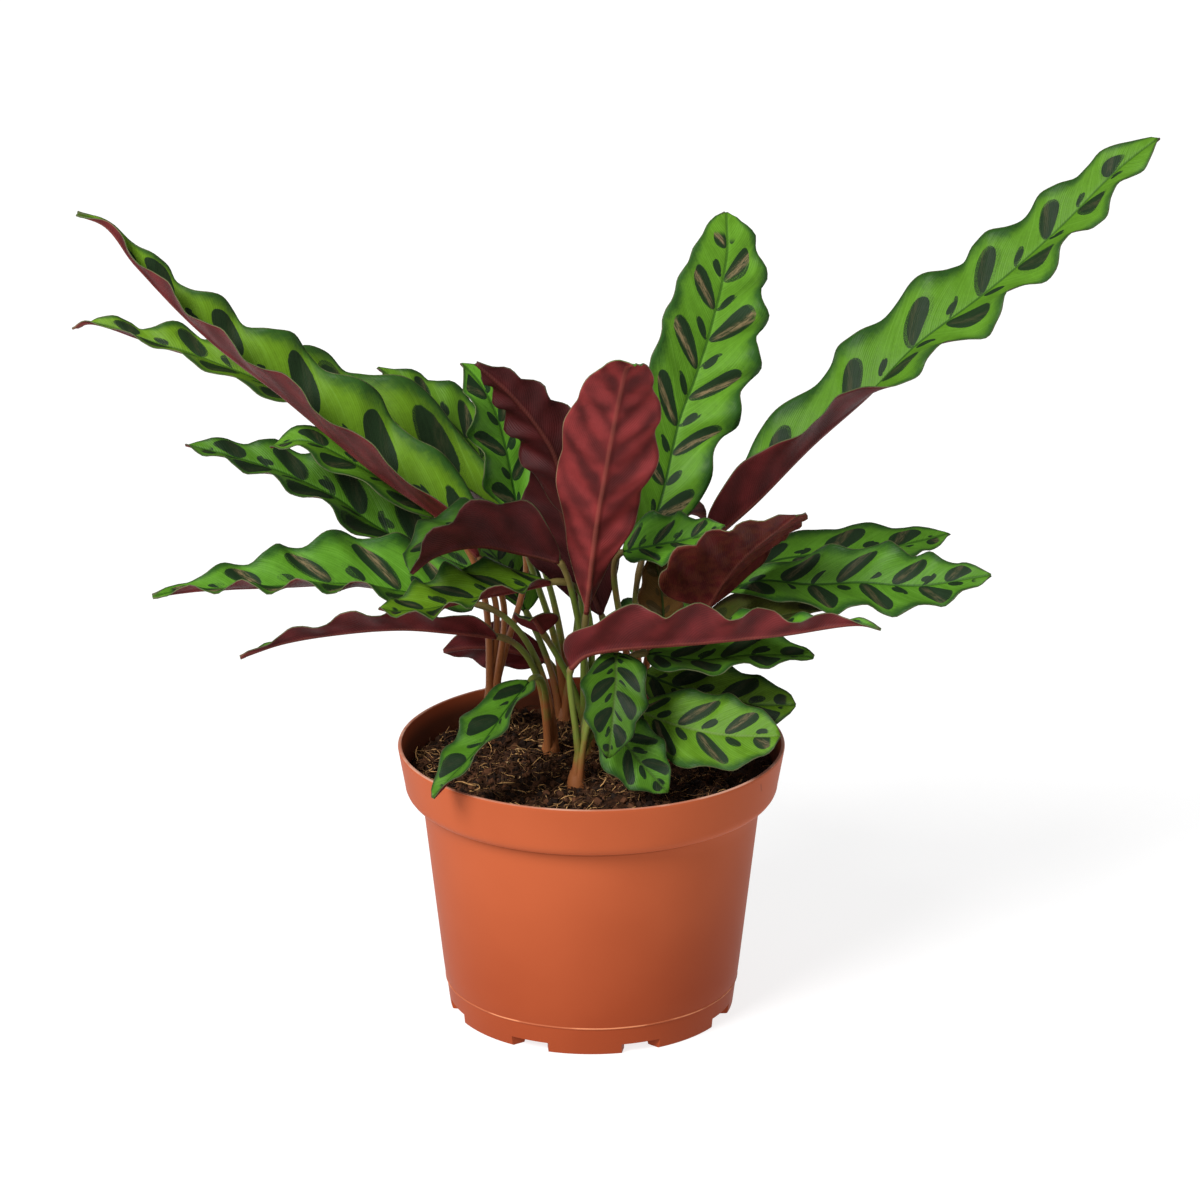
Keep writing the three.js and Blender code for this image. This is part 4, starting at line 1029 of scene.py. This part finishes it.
potFinish = potMaterial()
host = turnedMesh("potBlank", potProfile(), pot["segments"], potFinish)
notches = {
    "Count": pot["notchCount"], "Radius": pot["foot"] * mm, "Turn": math.radians(pot["notchTurn"] - 90),
    "Box": [pot["notchWidth"] * mm, pot["notchDepth"] * mm, pot["notchHeight"] * 2 * mm],
    "Splay": pot["notchSplay"] / (pot["notchDepth"] * mm), "Look": potFinish,
}
piece = runTree(host, notchTree(), notches, "pot_moulding")
piece.data.polygons.foreach_set("use_smooth", [True] * len(piece.data.polygons))
piece.data.set_sharp_from_angle(angle=math.radians(pot["sharpAngle"]))
keepPiece(piece, ["pot"])
print("pot made")

# soil
soil = {
    "edgeZ": 103, "swell": 2.5, "bump": 1.3, "rings": 70, "segments": 180, "fit": 0.3, "seed": 5,
    "lumps": 2.4, "lumpScale": 0.11, "grain": 0.9, "grainScale": 1.1,
    "clumps": 45.0, "clumpEdge": (0.38, 0.62),  # noise per metre, and the values between which a clump fills
    "leftward": (60, -60),  # mm, more bits lie toward the left
    "crowd": (1.2, 0.5, 0.15),  # shares of the amount in a clump, at the left and everywhere
    "strewTo": 4, "strewLimit": 5,  # mm beyond the pot's body at the top
    "strewStep": 2.5,
    # length and radius in mm, and how much a strand bends
    "fibre": {"count": 14, "length": (8, 20), "radius": (0.15, 0.36), "bend": 1.25},
    "chip": {"count": 6, "length": (4, 9), "radius": (0.5, 0.9), "bend": 0.2},
    "strandSteps": 9, "strandSides": (0.3, 2.4, 4.5),  # the corners of a strand's section in radians
    # height, radius and corners of each row
    "crumb": {"count": 6, "rows": [(-0.5, 0.3, 3), (0, 0.6, 5), (0.45, 0.35, 3)]},
    # how many lie on the soil, how large, how far above it in mm, how far they tilt in radians, and how
    # rare the light ones are
    "fibres": {"amount": 1500, "sizes": (0.45, 1.35), "lift": 1.3, "lean": 0.6, "rarity": 4.2},
    "chips": {"amount": 60, "sizes": (0.5, 1.2), "lift": 0.8, "lean": 0.3, "rarity": 1.5},
    "crumbs": {"amount": 2600, "sizes": (0.6, 3.6), "lift": 0.2, "lean": 1.5, "rarity": 2},
}

soilLook = {
    "peat": (0.011, 0.0048, 0.0024),
    "brown": (0.058, 0.023, 0.0095),
    "bark": (0.105, 0.041, 0.017),
    "coir": (0.33, 0.165, 0.058),
    "straw": (0.66, 0.37, 0.14),
    "pale": (0.56, 0.37, 0.18),
    "fine": 520.0, "lump": 90.0, "bitGrain": 700.0,  # per metre
    "shine": 0.12, "bitShine": 0.2,
}


def soilHeight(x, y):
    # the same swell and bumps as the packed soil's
    reach = math.hypot(x, y) / pot["bodyTop"]
    bumps = math.sin(x * 0.19 + 1.2) * math.cos(y * 0.23 - 0.4)
    bumps += 0.6 * math.sin(x * 0.41 - y * 0.33 + 0.7) + 0.4 * math.cos(x * 0.57 + y * 0.49)
    return soil["edgeZ"] + soil["swell"] * (1 - reach**2) + soil["bump"] * bumps * (1 - 0.5 * reach)


def roughHeight(x, y):
    # with lumps and grain that the packed soil doesn't have
    place = Vector((x, y, 0))
    lumps = noise.fractal(place * soil["lumpScale"], 1.0, 2.0, 4) * soil["lumps"]
    return soilHeight(x, y) + lumps + noise.noise(place * soil["grainScale"]) * soil["grain"]


def makeSoil(material):
    # fills the pot just inside its profile; a ring without a height follows the rough surface
    inner = pot["bodyTop"] - pot["wall"] - soil["fit"] - 0.3
    edge = inner + 7.2
    wall = [(pot["foot"] - 3.4, pot["floorTopZ"] + soil["fit"]),
            (pot["parting"] - pot["wall"] - soil["fit"] - 0.2, pot["partingZ"]),
            (inner, pot["collarFootZ"] + 1.6), (inner + 6.6, pot["collarFootZ"] + 7.2),
            (inner + 7, soil["edgeZ"] - 2.5)]
    rings = wall + [(edge * (1 - k / soil["rings"]), None) for k in range(soil["rings"])]
    count = soil["segments"]
    points = []
    for radius, z in rings:
        for k in range(count):
            angle = k * 2 * math.pi / count
            x, y = radius * math.cos(angle), radius * math.sin(angle)
            points.append((x, y, roughHeight(x, y) if z is None else z))
    faces = ringFaces(len(rings), count)
    points.append((0, 0, roughHeight(0, 0)))
    points.append((0, 0, pot["floorTopZ"] + soil["fit"]))
    last = (len(rings) - 1) * count
    for k in range(count):
        following = (k + 1) % count
        faces.append((last + k, last + following, len(points) - 2))
        faces.append((following, k, len(points) - 1))
    return meshObject("soil_bed", points, faces, [material])


def soilMaterial():
    material, maker = newMaterial("soilPeat")
    place = maker.place()
    fine = maker.noise(place, soilLook["fine"], 5, 0.7)
    lumps = maker.noise(place, soilLook["lump"], 3, 0.6)
    base = maker.mix(fine.rise(0.35, 0.7), soilLook["peat"], soilLook["brown"])
    base = maker.mix(lumps.rise(0.5, 0.75) * fine.rise(0.5, 0.8) * 0.5, base, soilLook["coir"])
    maker.finish(base, 0.85 + fine * 0.12, soilLook["shine"], maker.bump(fine + lumps, 0.8, 1.0))
    return material


def bitMaterial(name, dark, light, rarity):
    material, maker = newMaterial(name)
    luck = maker.axes(maker.attribute("luck"))[0]
    grain = maker.noise(maker.place(), soilLook["bitGrain"], 3, 0.6)
    base = maker.mix((luck**rarity + grain * 0.4 - 0.18).rise(0, 0.95), soilLook[dark], soilLook[light])
    maker.finish(base, 0.7 + grain * 0.25, soilLook["bitShine"], maker.bump(grain, 0.3, 0.8))
    return material


def strand(name, rng, shape):
    # a bent three-sided fibre lying about the origin
    length, radius, bend = rng.uniform(*shape["length"]), rng.uniform(*shape["radius"]), shape["bend"]
    steps = soil["strandSteps"]
    heading, tilt = rng.uniform(0, 6.3), 0.0
    spot = np.zeros(3)
    centre = []
    for k in range(steps):
        centre.append(spot.copy())
        heading += rng.uniform(-bend, bend)
        tilt = max(-0.5, min(0.7, tilt + rng.uniform(-0.45, 0.5)))
        ahead = np.array([math.cos(heading), math.sin(heading), math.sin(tilt)])
        spot = spot + unit(ahead) * length / steps
    centre = np.array(centre) - np.mean(centre, axis=0)
    points = []
    for k, middle in enumerate(centre):
        size = radius * (1 - 0.7 * abs(2 * k / (steps - 1) - 1) ** 2)
        for angle in soil["strandSides"]:
            points.append(middle + size * np.array([0.6 * math.cos(angle), math.cos(angle), math.sin(angle)]))
    faces = ringFaces(steps, 3) + [(2, 1, 0), (3 * steps - 3, 3 * steps - 2, 3 * steps - 1)]
    return meshObject(name, points, faces, [])


def crumb(name, rng):
    # a rough lump of about 1 mm, the hull of three uneven rows of points
    points = []
    for z, radius, count in soil["crumb"]["rows"]:
        for k in range(count):
            angle = k * 2 * math.pi / count + rng.uniform(-0.3, 0.3)
            size = radius * rng.uniform(0.7, 1.25)
            points.append((size * math.cos(angle), size * math.sin(angle), z * rng.uniform(0.7, 1.2)))
    host = meshObject(name, points, [], [])
    work = bmesh.new()
    work.from_mesh(host.data)
    bmesh.ops.convex_hull(work, input=work.verts)
    work.to_mesh(host.data)
    work.free()
    return host


def scatterTree():
    # strews the collection's shapes over the host's faces
    sizes = {"Shapes": "Collection", "Density": "Float", "Least": "Float", "Most": "Float",
             "Lift": "Float", "Lean": "Float", "Clumps": "Float", "Limit": "Float", "Seed": "Int",
             "Look": "Material"}
    tree, maker, given = nodeGroup("strewBits", sizes)
    position = maker.node("GeometryNodeInputPosition")
    clump = maker.noise(position, given["Clumps"], 2, 0.5).rise(*soil["clumpEdge"])
    leftward = maker.axes(position)[0].riseMm(*soil["leftward"])
    inClump, atLeft, everywhere = soil["crowd"]
    density = given["Density"] * (clump * inClump + leftward * atLeft + everywhere)
    spots = maker.node("GeometryNodeDistributePointsOnFaces", values={
        "Mesh": given["Geometry"], "Density": density, "Seed": given["Seed"]})
    shapes = maker.node("GeometryNodeCollectionInfo", values={
        "Collection": given["Shapes"], "Separate Children": True, "Reset Children": True})
    turn = maker.node("FunctionNodeRandomValue", {"data_type": "FLOAT_VECTOR"}, {
        "Min": maker.vector(given["Lean"] * -1, given["Lean"] * -1, 0.0),
        "Max": maker.vector(given["Lean"], given["Lean"], fullTurn), "Seed": given["Seed"] + 1})
    size = maker.node("FunctionNodeRandomValue", {"data_type": "FLOAT"}, {
        2: given["Least"], 3: given["Most"], "Seed": given["Seed"] + 2}, out=1)
    bits = maker.node("GeometryNodeInstanceOnPoints", values={
        "Points": spots, "Instance": shapes, "Pick Instance": True, "Rotation": turn, "Scale": size})
    raised = maker.node("GeometryNodeTranslateInstances", values={
        "Instances": bits, "Translation": maker.vector(0.0, 0.0, given["Lift"]), "Local Space": False})
    luck = maker.node("FunctionNodeRandomValue", {"data_type": "FLOAT_VECTOR"}, {"Seed": given["Seed"] + 3})
    marked = maker.node("GeometryNodeStoreNamedAttribute",
                        {"data_type": "FLOAT_VECTOR", "domain": "INSTANCE"},
                        {"Geometry": raised, "Name": "luck", "Value": luck})
    solid = maker.node("GeometryNodeRealizeInstances", values={"Geometry": marked})
    # what would reach through the pot's wall lies against it
    x, y, z = maker.axes(maker.node("GeometryNodeInputPosition"))
    pull = (given["Limit"] / (x * x + y * y) ** 0.5).smaller(1)
    inside = maker.node("GeometryNodeSetPosition", values={
        "Geometry": solid, "Position": maker.vector(x * pull, y * pull, z)})
    maker.clothe(inside, given["Look"])
    return tree


def soilTop():
    # the part of the soil's surface that bits may lie on
    reach, step = pot["bodyTop"] + soil["strewTo"], soil["strewStep"]
    count = int(reach / step)
    places = {}
    points, faces = [], []
    for i in range(-count, count + 1):
        for j in range(-count, count + 1):
            x, y = i * step, j * step
            if math.hypot(x, y) <= reach:
                places[i, j] = len(points)
                points.append((x, y, roughHeight(x, y)))
    for (i, j), here in places.items():
        around = [(i + 1, j), (i + 1, j + 1), (i, j + 1)]
        if all(spot in places for spot in around):
            faces.append((here, *(places[spot] for spot in around)))
    return meshObject("soilTop", points, faces, [])


def strew(name, shapes, layer, material, seed, tree):
    box = bpy.data.collections.new(name)
    for shape in shapes:
        bpy.context.scene.collection.objects.unlink(shape)
        box.objects.link(shape)
    area = math.pi * (pot["bodyTop"] * mm) ** 2
    least, most = layer["sizes"]
    values = {"Shapes": box, "Density": layer["amount"] / area, "Least": least, "Most": most,
              "Lift": layer["lift"] * mm, "Lean": layer["lean"], "Clumps": soil["clumps"], "Seed": seed,
              "Look": material, "Limit": (pot["bodyTop"] + soil["strewLimit"]) * mm}
    made = runTree(soilTop(), tree, values, name)
    for shape in shapes:
        bpy.data.objects.remove(shape)
    bpy.data.collections.remove(box)
    return made


keepPiece(makeSoil(soilMaterial()), ["soil"])
rng = random.Random(soil["seed"])
bits = scatterTree()
crumbLook = bitMaterial("soilCrumb", "peat", "bark", soil["crumbs"]["rarity"])
fibreLook = bitMaterial("soilFibre", "brown", "straw", soil["fibres"]["rarity"])
chipLook = bitMaterial("soilChip", "coir", "pale", soil["chips"]["rarity"])
crumbs = [crumb(f"crumb{k}", rng) for k in range(soil["crumb"]["count"])]
fibres = [strand(f"fibre{k}", rng, soil["fibre"]) for k in range(soil["fibre"]["count"])]
chips = [strand(f"chip{k}", rng, soil["chip"]) for k in range(soil["chip"]["count"])]
layers = [("crumbs", crumbs, crumbLook), ("fibres", fibres, fibreLook), ("chips", chips, chipLook)]
for number, (name, shapes, material) in enumerate(layers):
    piece = strew("soil_" + name, shapes, soil[name], material, soil["seed"] + 10 * number, bits)
    keepPiece(piece, ["soil"])
print("soil made")

# camera, floor and light
view = {
    "target": (3.56, 0, 176.3), "distance": 1800, "elevation": 18.44, "lens": 131.94, "sensor": 36,
    "farthest": 50,  # metres
}
angle = math.radians(view["elevation"])
camera = newObject("camera", bpy.data.cameras.new("camera"))
back = Vector((0, -math.cos(angle), math.sin(angle))) * view["distance"] * mm
camera.location = Vector(view["target"]) * mm + back
camera.rotation_euler = (math.pi / 2 - angle, 0, 0)
camera.data.sensor_width = view["sensor"]
camera.data.lens = view["lens"]
camera.data.clip_end = view["farthest"]
bpy.context.scene.camera = camera

studio = {
    "floor": 0.3, "floorReach": 6000, "glow": 0.8, "sky": 0.3, "aim": (0, 0, 0.18),
    # name, kind, strength, place, and size: degrees for the sun, metres for the others
    "lamps": [
        ("key", "SUN", 3.1, (-0.75, -0.85, 1.15), 25),
        ("softbox", "AREA", 9, (-1.1, -1.3, 0.9), 0.9),
        ("fill", "AREA", 1.5, (1.5, -1.2, 0.7), 1.2),
    ],
}


def floorMaterial():
    material, maker = newMaterial("floorPaint")
    grain = maker.noise(maker.place(), 30.0, 2, 0.5)
    tone = grain * 0.01 + studio["floor"] - 0.005
    glow = {"Emission Color": (1, 1, 1), "Emission Strength": studio["glow"]}
    maker.surface(maker.vector(tone, tone, tone), 0.8, glow)
    return material


def addLight(name, kind, energy, place, size):
    lamp = bpy.data.lights.new(name, kind)
    lamp.energy = energy
    if kind == "SUN":
        lamp.angle = math.radians(size)
    else:
        lamp.size = size
    made = newObject(name, lamp)
    made.location = place
    aim = Vector(studio["aim"]) - Vector(place)
    made.rotation_euler = aim.to_track_quat("-Z", "Y").to_euler()


corners = [(x * studio["floorReach"], y * studio["floorReach"], 0)
           for x, y in ((-1, -1), (1, -1), (1, 1), (-1, 1))]
meshObject("floor", corners, [(0, 1, 2, 3)], [floorMaterial()])
for lamp in studio["lamps"]:
    addLight(*lamp)

world = bpy.data.worlds.new("studio")
bpy.context.scene.world = world
world.use_nodes = True
sky = Maker(world.node_tree)
light = sky.node("ShaderNodeBackground", values={"Color": (1, 1, 1), "Strength": studio["sky"]})
sky.node("ShaderNodeOutputWorld", values={"Surface": light})
bpy.context.scene.view_settings.view_transform = "Standard"
print("camera, floor and light made")
